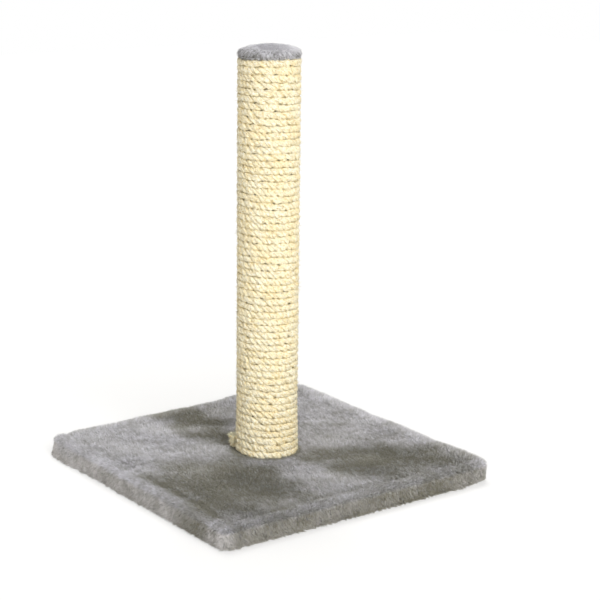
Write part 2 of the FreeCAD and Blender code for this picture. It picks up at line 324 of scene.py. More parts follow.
class Bench:
    """Lays the shader nodes of one finish and joins them."""

    # Places of the colour sockets on a mix node, which has others of the same names.
    MIX_FACTOR = 0
    MIX_FIRST = 6
    MIX_SECOND = 7
    MIX_RESULT = 2

    def __init__(self, name: str) -> None:
        """Start a material with its plain shader.

        Args:
            name: the finish's name.
        """
        self.made = bpy.data.materials.new(name)
        self.made.use_nodes = True
        self.tree = self.made.node_tree
        self.shader = self.tree.nodes["Principled BSDF"]

    def lay(self, kind: str, **settings: object) -> bpy.types.Node:
        """Add a node.

        Args:
            kind: the node's type.
            settings: properties to set on it.

        Returns:
            The node.
        """
        node = self.tree.nodes.new(kind)
        for key, value in settings.items():
            setattr(node, key, value)
        return node

    def feed(self, socket: Socket, value: object) -> None:
        """Join an output to a socket, or set the socket's own value.

        Args:
            socket: the input.
            value: another node's output, a number or a colour.
        """
        if isinstance(value, bpy.types.NodeSocket):
            self.tree.links.new(value, socket)
        elif isinstance(value, tuple) and len(value) == 3 and socket.type == "RGBA":
            socket.default_value = (*value, 1.0)
        else:
            socket.default_value = value

    def shade(self, **values: object) -> None:
        """Feed the shader's own sockets, named with underscores for spaces."""
        for key, value in values.items():
            self.feed(self.shader.inputs[key.replace("_", " ")], value)

    def place(self, stretch: Scales = (1.0, 1.0, 1.0),
              source: Coordinates = Coordinates.OBJECT) -> Socket:
        """Lay texture coordinates.

        Args:
            stretch: scale of each axis.
            source: what the texture follows.

        Returns:
            The vector output.
        """
        spot = self.lay("ShaderNodeTexCoord")
        mapping = self.lay("ShaderNodeMapping")
        mapping.inputs["Scale"].default_value = stretch
        self.feed(mapping.inputs["Vector"], spot.outputs[source.value])
        return mapping.outputs["Vector"]

    def noise(self, vector: Socket, scale: float, detail: float = 3.0) -> Socket:
        """Lay a cloud texture.

        Args:
            vector: its coordinates.
            scale: waves to the unit.
            detail: how many finer layers it has.

        Returns:
            The grey output.
        """
        node = self.lay("ShaderNodeTexNoise")
        self.feed(node.inputs["Vector"], vector)
        self.feed(node.inputs["Scale"], scale)
        self.feed(node.inputs["Detail"], detail)
        return node.outputs["Fac"]

    def wave(self, vector: Socket, scale: float, wobble: float = 0.0, detail: float = 2.0,
             **settings: str) -> Socket:
        """Lay a texture of bands or rings.

        Args:
            vector: its coordinates.
            scale: waves to the unit.
            wobble: how far the waves stray.
            detail: how many finer layers the straying has.
            settings: the kind of wave and the way it runs.

        Returns:
            The grey output.
        """
        node = self.lay("ShaderNodeTexWave", **settings)
        self.feed(node.inputs["Vector"], vector)
        self.feed(node.inputs["Scale"], scale)
        self.feed(node.inputs["Distortion"], wobble)
        self.feed(node.inputs["Detail"], detail)
        return node.outputs["Fac"]

    def ramp(self, factor: Socket, *stops: tuple[float, Colour]) -> Socket:
        """Turn a grey value into colours.

        Args:
            factor: the grey value.
            stops: places from 0 to 1, each with its colour.

        Returns:
            The colour output.
        """
        node = self.lay("ShaderNodeValToRGB")
        band = node.color_ramp
        while len(band.elements) < len(stops):
            band.elements.new(1.0)
        for element, (spot, colour) in zip(band.elements, stops):
            element.position = spot
            element.color = (*colour, 1.0)
        self.feed(node.inputs["Fac"], factor)
        return node.outputs["Color"]

    def blend(self, factor: Socket, span: Span, low: Colour, high: Colour) -> Socket:
        """Turn a grey value into one colour below a span and another above it.

        Args:
            factor: the grey value.
            span: where the first colour ends and where the second begins.
            low: the first colour.
            high: the second colour.

        Returns:
            The colour output.
        """
        return self.ramp(factor, (span[0], low), (span[1], high))

    def darken(self, share: float, colour: Socket, factor: Socket, span: Span, dark: Colour) -> Socket:
        """Darken a colour where a grey value is low.

        Args:
            share: how much of the darkening shows.
            colour: the colour to darken.
            factor: the grey value.
            span: where the darkest part ends and where the colour is left as it is.
            dark: what the colour is multiplied by in the darkest part.

        Returns:
            The colour output.
        """
        node = self.lay("ShaderNodeMix", data_type="RGBA", blend_type="MULTIPLY")
        self.feed(node.inputs[self.MIX_FACTOR], share)
        self.feed(node.inputs[self.MIX_FIRST], colour)
        self.feed(node.inputs[self.MIX_SECOND], self.blend(factor, span, dark, WHITE))
        return node.outputs[self.MIX_RESULT]

    def relief(self, height: Socket, depth: float, strength: float = 1.0) -> None:
        """Raise fine relief on the surface.

        Args:
            height: grey output that is read as height.
            depth: how far white stands above black.
            strength: share of the relief that shows.
        """
        node = self.lay("ShaderNodeBump")
        self.feed(node.inputs["Strength"], strength)
        self.feed(node.inputs["Distance"], depth)
        self.feed(node.inputs["Height"], height)
        self.shade(Normal=node.outputs["Normal"])


@dataclass(frozen=True)
class Finish:
    """A finish that is made once and shared by the pieces that wear it."""

    name: str

    def material(self) -> bpy.types.Material:
        """Return the finish's material, made at its first use."""
        return bpy.data.materials.get(self.name) or self.lay().made

    def lay(self) -> Bench:
        """Lay the finish's nodes on a new bench."""
        return Bench(self.name)


@dataclass(frozen=True)
class FibreFinish(Finish):
    """Fibres that carry their colour at their vertices, with a soft sheen."""

    roughness: float = 0.85
    sheen: float = 0.35
    sheen_roughness: float = 0.5
    gloss: float = 0.2
    mottle: float = 0.25
    mottle_scale: float = 420.0
    mottle_span: Span = (0.3, 0.7)
    mottle_dark: Colour = (0.7, 0.7, 0.7)

    def lay(self) -> Bench:
        """Lay the fibres' nodes.

        Returns:
            The bench with the finished material.
        """
        bench = super().lay()
        tint = bench.lay("ShaderNodeAttribute", attribute_name=TINT).outputs["Color"]
        cloud = bench.noise(bench.place(), self.mottle_scale)
        bench.shade(
            Base_Color=bench.darken(self.mottle, tint, cloud, self.mottle_span, self.mottle_dark),
            Roughness=self.roughness,
            Sheen_Weight=self.sheen,
            Sheen_Roughness=self.sheen_roughness,
            Specular_IOR_Level=self.gloss,
        )
        return bench


@dataclass(frozen=True)
class BackingFinish(Finish):
    """The knitted ground that the plush pile stands on, coloured dark grey as painted shade deep down in the
    pile.
    """

    # Both greys are dark as painted shade deep in the pile; the gaps between stitches are darker still.
    painted_shade_yarn: Colour = (0.3, 0.297, 0.29)
    painted_shade_gap: Colour = (0.17, 0.168, 0.162)
    stitch: float = 900.0
    stitch_wobble: float = 4.0
    stitch_span: Span = (0.2, 0.8)
    stitch_depth: float = 0.0004
    stitch_relief: float = 0.6
    roughness: float = 0.95
    sheen: float = 0.2

    def lay(self) -> Bench:
        """Lay the knit's nodes.

        Returns:
            The bench with the finished material.
        """
        bench = super().lay()
        knit = bench.wave(bench.place(), self.stitch / math.tau, self.stitch_wobble,
                          wave_type="BANDS", bands_direction="DIAGONAL")
        bench.shade(
            Base_Color=bench.blend(knit, self.stitch_span, self.painted_shade_gap, self.painted_shade_yarn),
            Roughness=self.roughness,
            Sheen_Weight=self.sheen,
        )
        bench.relief(knit, self.stitch_depth, self.stitch_relief)
        return bench


@dataclass(frozen=True)
class StrandFinish(Finish):
    """Twisted sisal: long pale fibres with straw-coloured ones between them."""

    husk: Colour = (0.42, 0.29, 0.11)
    straw: Colour = (0.89, 0.75, 0.425)
    cream: Colour = (1.0, 0.94, 0.715)
    pale: Colour = (1.0, 0.985, 0.9)
    fibre_stops: tuple[float, ...] = (0.3, 0.41, 0.52, 0.64)
    fibre_stretch: Scales = (260.0, 22.0, 1.0)
    fibre_detail: float = 4.0
    fibre_depth: float = 0.0009
    fibre_relief: float = 0.9
    dust: Colour = (0.5, 0.39, 0.22)
    dust_stretch: Scales = (420.0, 9.0, 1.0)
    dust_span: Span = (0.3, 0.46)
    dust_share: float = 0.7
    aged: Colour = (1.0, 0.96, 0.86)
    aged_scale: float = 45.0
    aged_span: Span = (0.35, 0.6)
    detail: float = 2.0
    roughness: float = 0.65
    gloss: float = 0.25

    def lay(self) -> Bench:
        """Lay the strands' nodes.

        Returns:
            The bench with the finished material.
        """
        bench = super().lay()
        along_fibres = bench.place(self.fibre_stretch, Coordinates.STRAND)
        along_dust = bench.place(self.dust_stretch, Coordinates.STRAND)
        fibres = bench.noise(along_fibres, 1.0, self.fibre_detail)
        streaks = bench.ramp(fibres, *zip(self.fibre_stops, (self.husk, self.straw, self.cream, self.pale)))
        flecks = bench.noise(along_dust, 1.0, self.detail)
        patches = bench.noise(bench.place(), self.aged_scale, self.detail)
        dusty = bench.darken(self.dust_share, streaks, flecks, self.dust_span, self.dust)
        colour = bench.darken(1.0, dusty, patches, self.aged_span, self.aged)
        bench.shade(Base_Color=colour, Roughness=self.roughness, Specular_IOR_Level=self.gloss)
        bench.relief(fibres, self.fibre_depth, self.fibre_relief)
        return bench


@dataclass(frozen=True)
class ChipboardFinish(Finish):
    """Pressed wood chips that lie every way."""

    dark: Colour = (0.36, 0.24, 0.12)
    fair: Colour = (0.6, 0.44, 0.25)
    pale: Colour = (0.78, 0.63, 0.42)
    chips: float = 130.0
    chip_stops: tuple[float, ...] = (0.2, 0.5, 0.8)
    chip_stretch: Scales = (1.0, 2.2, 1.0)
    grain_scale: float = 700.0
    grain_detail: float = 4.0
    grain_share: float = 0.7
    grain_span: Span = (0.3, 0.7)
    grain_dark: Colour = (0.6, 0.6, 0.6)
    grain_depth: float = 0.0003
    grain_relief: float = 0.5
    roughness: float = 0.8

    def lay(self) -> Bench:
        """Lay the chips' nodes.

        Returns:
            The bench with the finished material.
        """
        bench = super().lay()
        cells = bench.lay("ShaderNodeTexVoronoi")
        bench.feed(cells.inputs["Vector"], bench.place(self.chip_stretch))
        bench.feed(cells.inputs["Scale"], self.chips)
        grain = bench.noise(bench.place(), self.grain_scale, self.grain_detail)
        wood = bench.ramp(cells.outputs["Color"], *zip(self.chip_stops, (self.dark, self.fair, self.pale)))
        colour = bench.darken(self.grain_share, wood, grain, self.grain_span, self.grain_dark)
        bench.shade(Base_Color=colour, Roughness=self.roughness)
        bench.relief(grain, self.grain_depth, self.grain_relief)
        return bench


@dataclass(frozen=True)
class TurnedWoodFinish(Finish):
    """Plain softwood with growth rings and a fine grain."""

    late: Colour = (0.42, 0.27, 0.12)
    early: Colour = (0.72, 0.55, 0.33)
    ring_span: Span = (0.1, 0.9)
    ring_stretch: Scales = (1.0, 0.12, 1.0)
    ring_scale: float = 60.0
    ring_wobble: float = 3.0
    ring_detail: float = 3.0
    grain_stretch: Scales = (1.0, 0.08, 1.0)
    grain_scale: float = 900.0
    grain_share: float = 0.6
    grain_span: Span = (0.3, 0.6)
    grain_dark: Colour = (0.7, 0.7, 0.7)
    grain_depth: float = 0.0002
    grain_relief: float = 0.4
    roughness: float = 0.65

    def lay(self) -> Bench:
        """Lay the wood's nodes.

        Returns:
            The bench with the finished material.
        """
        bench = super().lay()
        rings = bench.wave(bench.place(self.ring_stretch), self.ring_scale, self.ring_wobble,
                           self.ring_detail, wave_type="RINGS", rings_direction="Y")
        grain = bench.noise(bench.place(self.grain_stretch), self.grain_scale)
        wood = bench.blend(rings, self.ring_span, self.early, self.late)
        colour = bench.darken(self.grain_share, wood, grain, self.grain_span, self.grain_dark)
        bench.shade(Base_Color=colour, Roughness=self.roughness)
        bench.relief(grain, self.grain_depth, self.grain_relief)
        return bench


@dataclass(frozen=True)
class CardFinish(Finish):
    """Grey-brown card wound in a spiral, with its seams and paper fibres."""

    seam: Colour = (0.3, 0.22, 0.13)
    paper: Colour = (0.52, 0.41, 0.28)
    seam_end: float = 0.06
    band_stretch: Scales = (0.6, 0.6, 1.0)
    band_scale: float = 4.0
    fibre_stretch: Scales = (1.0, 1.0, 0.3)
    fibre_scale: float = 600.0
    fibre_detail: float = 4.0
    fibre_share: float = 0.7
    fibre_span: Span = (0.3, 0.7)
    fibre_dark: Colour = (0.75, 0.75, 0.75)
    fibre_depth: float = 0.0002
    fibre_relief: float = 0.4
    roughness: float = 0.85

    def lay(self) -> Bench:
        """Lay the card's nodes.

        Returns:
            The bench with the finished material.
        """
        bench = super().lay()
        bands = bench.wave(bench.place(self.band_stretch), self.band_scale,
                           wave_type="BANDS", bands_direction="Z", wave_profile="SAW")
        fibres = bench.noise(bench.place(self.fibre_stretch), self.fibre_scale, self.fibre_detail)
        card = bench.ramp(bands, (0.0, self.seam), (self.seam_end, self.paper), (1.0, self.paper))
        colour = bench.darken(self.fibre_share, card, fibres, self.fibre_span, self.fibre_dark)
        bench.shade(Base_Color=colour, Roughness=self.roughness)
        bench.relief(fibres, self.fibre_depth, self.fibre_relief)
        return bench


@dataclass(frozen=True)
class PlatedFinish(Finish):
    """Plated steel with a faint cloudiness and fine drawing lines."""

    bright: Colour = (0.66, 0.67, 0.7)
    dull: Colour = (0.46, 0.47, 0.5)
    colour_span: Span = (0.3, 0.75)
    smooth: Colour = (0.26, 0.26, 0.26)
    rough: Colour = (0.45, 0.45, 0.45)
    rough_span: Span = (0.3, 0.7)
    cloud_scale: float = 160.0
    cloud_detail: float = 4.0
    lines: Scales = (40.0, 40.0, 900.0)
    line_detail: float = 2.0
    line_depth: float = 0.00008
    line_relief: float = 0.3

    def lay(self) -> Bench:
        """Lay the plating's nodes.

        Returns:
            The bench with the finished material.
        """
        bench = super().lay()
        cloud = bench.noise(bench.place(), self.cloud_scale, self.cloud_detail)
        drawn = bench.noise(bench.place(self.lines), 1.0, self.line_detail)
        bench.shade(
            Base_Color=bench.blend(cloud, self.colour_span, self.bright, self.dull),
            Metallic=1.0,
            Roughness=bench.blend(cloud, self.rough_span, self.smooth, self.rough),
        )
        bench.relief(drawn, self.line_depth, self.line_relief)
        return bench


@dataclass(frozen=True)
class FloorFinish(Finish):
    """A white studio floor that keeps the larger part of the shadow."""

    white: Colour = (0.98, 0.98, 0.98)
    speck: Colour = (0.97, 0.97, 0.97)
    speck_scale: float = 6.0
    roughness: float = 0.9
    kept_shadow: float = 0.65

    def lay(self) -> Bench:
        """Lay the floor's nodes.

        Returns:
            The bench with the finished material.
        """
        bench = super().lay()
        cloud = bench.noise(bench.place(), self.speck_scale)
        bench.shade(
            Base_Color=bench.blend(cloud, (0.0, 1.0), self.white, self.speck),
            Roughness=self.roughness,
            Specular_IOR_Level=0.0,
        )
        glow = bench.lay("ShaderNodeEmission")
        share = bench.lay("ShaderNodeMath", operation="MULTIPLY")
        bench.feed(share.inputs[0], seen_rays(bench.tree))
        bench.feed(share.inputs[1], 1.0 - self.kept_shadow)
        mixed = bench.lay("ShaderNodeMixShader")
        bench.feed(mixed.inputs["Fac"], share.outputs["Value"])
        bench.feed(mixed.inputs[1], bench.shader.outputs["BSDF"])
        bench.feed(mixed.inputs[2], glow.outputs["Emission"])
        bench.feed(bench.tree.nodes["Material Output"].inputs["Surface"], mixed.outputs["Shader"])
        return bench


# Soft surfaces and their pile

@dataclass
class RingSurface:
    """Closed rings of points that follow one another over a soft surface.

    Attributes:
        rings: points as (ring, place on the ring, xyz); with each ring anticlockwise seen from above, the
            outside is on the left hand of the way from ring to ring.
    """

    rings: np.ndarray

    # The upward part of a normal below which it faces down, and the shortest step that is divided by.
    FACING_DOWN = -0.5
    SHORTEST = 1e-6

    def normals(self) -> np.ndarray:
        """Work out which way the surface faces.

        Returns:
            The outward unit normal at each point.
        """
        along = np.gradient(self.rings, axis=0)
        around = np.roll(self.rings, -1, axis=1) - np.roll(self.rings, 1, axis=1)
        return unit(np.cross(around, along))

    def scatter(self, count: int, rng: np.random.Generator, reach: float,
                under_share: float = 1.0) -> tuple[np.ndarray, np.ndarray]:
        """Choose points over the surface, closer together where it bends, so that tips stay as close.

        Args:
            count: how many.
            rng: the seeded draw.
            reach: how far the tips stand off.
            under_share: density where the surface faces down.

        Returns:
            Points and their outward normals, (count, 3) each.
        """
        normals = self.normals()
        density = np.where(normals[:-1, :, 2] < self.FACING_DOWN, under_share, 1.0)
        for turned, moved in (
            (np.diff(normals, axis=0), np.diff(self.rings, axis=0)),
            (np.roll(normals, -1, 1) - normals, np.roll(self.rings, -1, 1) - self.rings),
        ):
            bend = np.linalg.norm(turned, axis=-1) / np.linalg.norm(moved, axis=-1).clip(self.SHORTEST)
            density = density * (1.0 + reach * bend[:len(density)])
        nearer, farther = self.rings[:-1], self.rings[1:]
        diagonals = np.cross(np.roll(farther, -1, 1) - nearer, farther - np.roll(nearer, -1, 1))
        area = (np.linalg.norm(diagonals, axis=-1) * density).ravel()
        pick = rng.choice(len(area), count, p=area / area.sum())
        ring, spot = np.divmod(pick, self.rings.shape[1])
        following = (spot + 1) % self.rings.shape[1]
        across, up = rng.random((2, count, 1))
        found = []
        for grid in (self.rings, normals):
            low = grid[ring, spot] * (1.0 - across) + grid[ring, following] * across
            high = grid[ring + 1, spot] * (1.0 - across) + grid[ring + 1, following] * across
            found.append(low * (1.0 - up) + high * up)
        return found[0], unit(found[1])

    def cloth(self, name: str, thickness: float) -> Piece:
        """Make a closed thin cloth whose outside is this surface.

        Args:
            name: the piece's name.
            thickness: how far the inside lies under the outside.

        Returns:
            The mesh object.
        """
        inside = (self.rings - self.normals() * thickness)[::-1]
        shell = np.concatenate([self.rings, inside])
        return mesh_piece(name, shell.reshape(-1, 3), [ring_faces(len(shell), shell.shape[1], joined=True)])


@dataclass
class Tufts:
    """Tapered fibres or tufts, each a small closed three-sided spike with one bend.

    Attributes:
        roots: where they stand.
        normals: outward direction at the roots.
        leans: sideways push of each, as a share of its height.
        lengths: length of each.
        widths: half thickness of each at its root.
        shades: colour of each at its bend.
        painted_root_shade: brightness of the root beside the bend; the darker root is painted shade deep in
            the pile.
        painted_tip_light: brightness of the tip beside the bend; the lighter tip is painted light.
        brightest: the most that a colour may hold.
        lowest: height below which no fibre goes.
        sunk: how deep the root is set in.
        start_lean: share of the lean below the bend.
        tip_rise: share of the outward direction above the bend.
        tip_lean: share of the lean above the bend.
        bend_width: thickness at the bend beside that at the root.
    """

    roots: np.ndarray
    normals: np.ndarray
    leans: np.ndarray
    lengths: np.ndarray
    widths: np.ndarray
    shades: np.ndarray
    painted_root_shade: float = 0.68
    painted_tip_light: float = 1.15
    brightest: float = 0.98
    lowest: float = 0.0003
    sunk: float = 0.0004
    start_lean: float = 0.45
    tip_rise: float = 0.75
    tip_lean: float = 1.35
    bend_width: float = 0.85

    # Each tuft's points: three corners of the root, three of the bend and the tip.
    CORNERS = 3
    SIDES = ((0, 1, 4, 3), (1, 2, 5, 4), (2, 0, 3, 5))
    ENDS = ((3, 4, 6), (4, 5, 6), (5, 3, 6), (2, 1, 0))

    def points(self, rng: np.random.Generator) -> np.ndarray:
        """Work out the vertices.

        Args:
            rng: the seeded draw for how each is turned.

        Returns:
            Vertices, (tuft, point, xyz).
        """
        count = len(self.roots)
        half = self.lengths[:, None] * 0.5
        start = unit(self.normals + self.leans * self.start_lean)
        finish = unit(self.normals * self.tip_rise + self.leans * self.tip_lean)
        bend = self.roots + start * half
        tip = bend + finish * half
        side = unit(np.cross(self.normals, unit(rng.normal(size=(count, 3)))))
        other = np.cross(self.normals, side)
        rings = []
        for centre, width in ((self.roots - self.normals * self.sunk, 1.0), (bend, self.bend_width)):
            for corner in range(self.CORNERS):
                turn = math.tau * corner / self.CORNERS
                offset = side * math.cos(turn) + other * math.sin(turn)
                rings.append(centre + offset * self.widths[:, None] * width)
        placed = np.stack([*rings, tip], axis=1)
        placed[..., 2] = np.maximum(placed[..., 2], self.lowest)
        return placed

    def pieces(self, name: str, finish: Finish, seed: int, most: int = 18000) -> list[Piece]:
        """Make the tufts' meshes, shared out over pieces of a handy size.

        Args:
            name: first part of the pieces' names.
            finish: what they are dressed in.
            seed: number that fixes how each is turned.
            most: tufts in one piece.

        Returns:
            The mesh objects.
        """
        placed = self.points(np.random.default_rng(seed))
        # Painted shade darkens each tuft's root, and painted light brightens its tip.
        painted_light_shares = [self.painted_root_shade] * self.CORNERS + [1.0] * self.CORNERS + [self.painted_tip_light]
        tints = np.minimum(self.shades[:, None, :] * np.array(painted_light_shares)[None, :, None], self.brightest)
        order = np.argsort(np.arctan2(self.roots[:, 1], self.roots[:, 0]), kind="stable")
        groups = np.array_split(order, math.ceil(len(order) / most))
        made = []
        for number, group in enumerate(groups, 1):
            first = np.arange(len(group))[:, None] * placed.shape[1]
            sides = np.concatenate([first + np.array(quad) for quad in self.SIDES])
            ends = np.concatenate([first + np.array(triangle) for triangle in self.ENDS])
            piece = mesh_piece(f"{name}_{number:02d}", placed[group].reshape(-1, 3), [sides, ends])
            paint(piece, tints[group].reshape(-1, 3))
            made.append(settle(piece, finish))
        return made


def locks(roots: np.ndarray, tufts_each: int, rng: np.random.Generator) -> tuple[np.ndarray, np.ndarray]:
    """Gather tufts into small locks.

    Args:
        roots: where the tufts stand.
        tufts_each: how many tufts a lock has on average.
        rng: the seeded draw.

    Returns:
        Four random numbers for each tuft, alike through its lock, and the way from it to its lock's middle.
    """
    share = 1.0 / tufts_each
    centres = roots[rng.choice(len(roots), max(1, int(len(roots) * share)), replace=False)]
    tree = KDTree(len(centres))
    for number, centre in enumerate(centres):
        tree.insert(centre, number)
    tree.balance()
    nearest = np.array([tree.find(root)[1] for root in roots])
    draws = rng.normal(size=(nearest.max() + 1, 4))
    return draws[nearest], centres[nearest] - roots


@dataclass(frozen=True)
class NapPatch:
    """A patch of pile that was brushed another way: its tufts lean another way, and its lighter or darker
    colour is painted light and shade for the pile's sheen.

    Attributes:
        x: middle of the patch.
        y: middle of the patch.
        reach_x: half its width.
        reach_y: half its depth.
        shade: how light it is; -1 is dark, and 1 is light.
    """

    x: float
    y: float
    reach_x: float
    reach_y: float
    shade: float

    RIM_ORDER = 4

    def read(self, points: np.ndarray) -> np.ndarray:
        """Return the patch's shade at each point, fading out round its rim."""
        across = ((points[:, 0] - self.x) / self.reach_x) ** self.RIM_ORDER
        return self.shade * np.exp(-(across + ((points[:, 1] - self.y) / self.reach_y) ** self.RIM_ORDER))


def nap_shade(patches: tuple[NapPatch, ...], points: np.ndarray) -> np.ndarray:
    """Return the shade that all the patches give together at each point."""
    return sum(patch.read(points) for patch in patches)


@dataclass(frozen=True)
class PlushGreyAndPaintedSheen:
    """The plush's greys: its own middle grey, with painted shade towards the dark grey and painted light
    towards the light grey, for pile brushed dark and pile brushed light.
    """

    # The dark and light greys are painted shade and painted light round the plush's own middle grey.
    dark: Colour = (0.258, 0.248, 0.196)
    middle: Colour = (0.52, 0.512, 0.52)
    light: Colour = (0.92, 0.91, 0.98)

    def mix(self, shade: np.ndarray) -> np.ndarray:
        """Return colours for shades from -1, dark, to 1, light."""
        return np.stack([
            np.interp(shade, (-1.0, 0.0, 1.0), channel)
            for channel in zip(self.dark, self.middle, self.light)
        ], -1)


# Patches on the base's top, along its front edges and on its front walls
BASE_NAP = (
    NapPatch(-0.150, 0.135, 0.100, 0.115, 0.22),
    NapPatch(-0.018, 0.140, 0.042, 0.125, -1.15),
    NapPatch(0.165, 0.110, 0.090, 0.130, 0.25),
    NapPatch(-0.135, -0.097, 0.082, 0.102, -1.2),
    NapPatch(-0.015, -0.110, 0.036, 0.050, 0.25),
    NapPatch(0.085, -0.105, 0.060, 0.050, -0.85),
    NapPatch(0.150, -0.165, 0.090, 0.050, -0.85),
    NapPatch(0.110, 0.035, 0.028, 0.028, -0.35),
    NapPatch(0.040, -0.060, 0.030, 0.020, -0.4),
)
# Along the edges; the first three darken the crease inside the rolled edges, which is painted shade.
EDGE_NAP_AND_PAINTED_CREASE_SHADE = (
    NapPatch(-0.207, -0.100, 0.007, 0.110, -0.4),
    NapPatch(-0.060, -0.210, 0.170, 0.009, -0.2),
    NapPatch(-0.222, -0.155, 0.020, 0.034, -0.5),
    NapPatch(-0.228, 0.000, 0.012, 0.240, 0.35),
    NapPatch(0.000, -0.230, 0.240, 0.010, -0.1),
)
WALL_NAP = (
    NapPatch(-0.235, -0.155, 0.030, 0.036, -0.7),
    NapPatch(-0.235, -0.050, 0.030, 0.060, 0.12),
    NapPatch(-0.235, 0.150, 0.030, 0.090, 0.3),
    NapPatch(-0.235, -0.235, 0.020, 0.022, 0.4),
    NapPatch(-0.090, -0.235, 0.125, 0.030, -0.3),
    NapPatch(0.090, -0.235, 0.075, 0.030, -0.55),
    NapPatch(0.205, -0.235, 0.030, 0.030, -0.2),
)


@dataclass
class PlushBase:
    """The plush that is pulled over the base board and stapled under it.

    A fade whose name ends in inset is counted inward from the cloth's sides.
    """

    backing: BackingFinish
    pile: FibreFinish
    tone: PlushGreyAndPaintedSheen = PlushGreyAndPaintedSheen()
    wall_warmth: Colour = (1.0, 0.975, 0.9)

    # The cloth
    cloth_gap: float = 0.0042
    cloth_thickness: float = 0.0019
    hem_lift: float = 0.0013
    hem_reach: float = 0.036
    corner_radius: float = 0.008
    top_radius: float = 0.0055
    floor_radius: float = 0.0022
    bolt_clearance: float = 0.008
    post_clearance: float = 0.0385
    corner_points: int = 14
    edge_points: int = 44
    hem_steps: int = 8
    round_steps: int = 7
    wall_steps: int = 6
    top_steps: int = 46
    round_plan: Fade = Fade(0.15, 0.07)

    # How it is puffed up, creased and gathered
    loft: float = 0.0019
    foot_cloth: Fade = Fade(0.056, 0.046)
    open_cloth: Fade = Fade(0.052, 0.08)
    rumple: float = 0.0006
    rumple_size: float = 0.09
    crease_depth: float = 0.0014
    crease_line: float = 0.021
    crease_width: float = 0.006
    crease_end: Fade = Fade(0.22, 0.04)
    low_swell: float = 0.0012
    swell_height: Fade = Fade(0.026, 0.008)
    swell_inset: Fade = Fade(0.02, 0.004)
    corner_swell: float = 0.0022
    gather_share: float = 0.55
    gather_inset: Fade = Fade(0.07, 0.03)
    slack_share: float = 1.3
    slack_start_inset: Fade = Fade(0.11, 0.05)
    slack_end_inset: Fade = Fade(0.002, 0.03)
    corner_tuck: float = 0.003
    tuck_inset: Fade = Fade(0.05, 0.012)
    corner_blend: float = 0.012
    rear_turn: Fade = Fade(-0.2, 0.6)

    # The pile's tufts and their lengths
    tuft_count: int = 250000
    tuft_length: float = 0.0062
    tuft_width: float = 0.0004
    width_spread: Span = (0.75, 1.25)
    length_spread: Span = (0.85, 1.1)
    under_share: float = 0.3
    lock_tufts: int = 7
    lock_length: float = 0.04
    wave_length: float = 0.05
    wave_size: float = 0.06
    fringe_height: Fade = Fade(0.006, 0.001)
    fringe_length: float = 0.35
    fringe_lock_length: float = 0.14
    fringe_wave_length: float = 0.16
    fringe_wave_size: float = 0.008
    tuck_shortening: float = 2.0
    rear_inset: Fade = Fade(0.03, 0.008)
    rear_facing: float = 0.3
    rear_length: float = 0.35
    far_corner: Fade = Fade(0.22, 0.36)
    far_length: float = 0.4
    under_facing: Fade = Fade(0.3, 0.8)
    under_shortening: float = 0.35
    crease_facing: float = 0.6
    crease_shortening: float = 0.3

    # Which way the pile leans
    nap_heading_deg: float = 140.0
    nap_lean: float = 0.75
    nap_swing_deg: float = 30.0
    nap_swing_size: float = 0.12
    shade_turn_deg: float = 35.0
    rim_start: float = 0.006
    rim_end: float = 0.01
    rim_lean: float = 0.75
    rim_nap: float = 0.25
    rear_upright: float = 0.45
    foot_pile: Fade = Fade(0.058, 0.046)
    foot_lean: float = 0.05
    sway: float = 0.25
    sway_size: float = 0.03
    hang_least: float = 0.1
    hang_more: float = 0.8
    hang_height: Fade = Fade(0.003, 0.013)
    under_lean: float = 1.2
    under_sway: float = 3.0
    up_facing: Fade = Fade(0.2, 0.85)
    down_facing: Fade = Fade(0.3, 0.85)
    lock_gather: float = 0.3
    lock_lean: float = 0.07
    tuft_lean: float = 0.08

    # How light the pile looks
    patch_warp: float = 0.009
    patch_warp_size: float = 0.07
    top_facing: Fade = Fade(0.1, 0.7)
    # Painted shade on the low fringe of pile along the floor:
    fringe_painted_shade: float = 0.3
    fringe_lock_painted_shade: float = 0.3
    # Painted shadow on the pile round the post's foot:
    foot_painted_shadow: float = 1.1
    foot_shadow: Fade = Fade(0.057, 0.048)
    # Painted light and shade on the walls by the way they face:
    side_painted_light: float = 0.2
    streak_squeeze: float = 0.65
    streak_shade: float = 0.11
    streak_size: float = 0.032
    fleck_shade: float = 0.08
    fleck_size: float = 0.014
    lock_shade: float = 0.16
    tuft_shade: float = 0.2

    def __post_init__(self) -> None:
        """Take the sizes that the solids fix."""
        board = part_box("base_board")[1]
        self.side = board.x + self.cloth_gap
        self.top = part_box("post_tube")[0].z
        self.hem_inner = board.x - self.hem_reach

    def inset(self, reach: np.ndarray, fade: Fade) -> np.ndarray:
        """Read a fade that is counted inward from the cloth's sides.

        Args:
            reach: distances from the base's middle lines.
            fade: the step.

        Returns:
            The step, from 0 to 1.
        """
        return ease(reach, self.side - fade.low, self.side - fade.high)

    def square_ring(self, half: float, height: float, roundness: float) -> np.ndarray:
        """Lay one ring of the cloth.

        Args:
            half: half the ring's width.
            height: its height.
            roundness: 0 for a square with round corners, 1 for a circle.

        Returns:
            Points, (count, 3), anticlockwise seen from above.
        """
        radius = min(self.corner_radius, half * 0.5)
        arc = quarter_arc(self.corner_points)
        edge = np.linspace(-1.0, 1.0, self.edge_points + 2)[1:-1] * (half - radius)
        quarter = np.concatenate([
            np.stack([np.full_like(edge, half), edge], -1),
            half - radius + radius * np.stack([np.cos(arc), np.sin(arc)], -1),
        ])
        turns = [np.array(Matrix.Rotation(math.radians(QUARTER_DEG * count), 2)) for count in range(4)]
        square = np.concatenate([quarter @ turn.T for turn in turns])
        plan = square * (1.0 - roundness) + unit(square) * half * roundness
        return np.concatenate([plan, np.full((len(plan), 1), height)], -1)

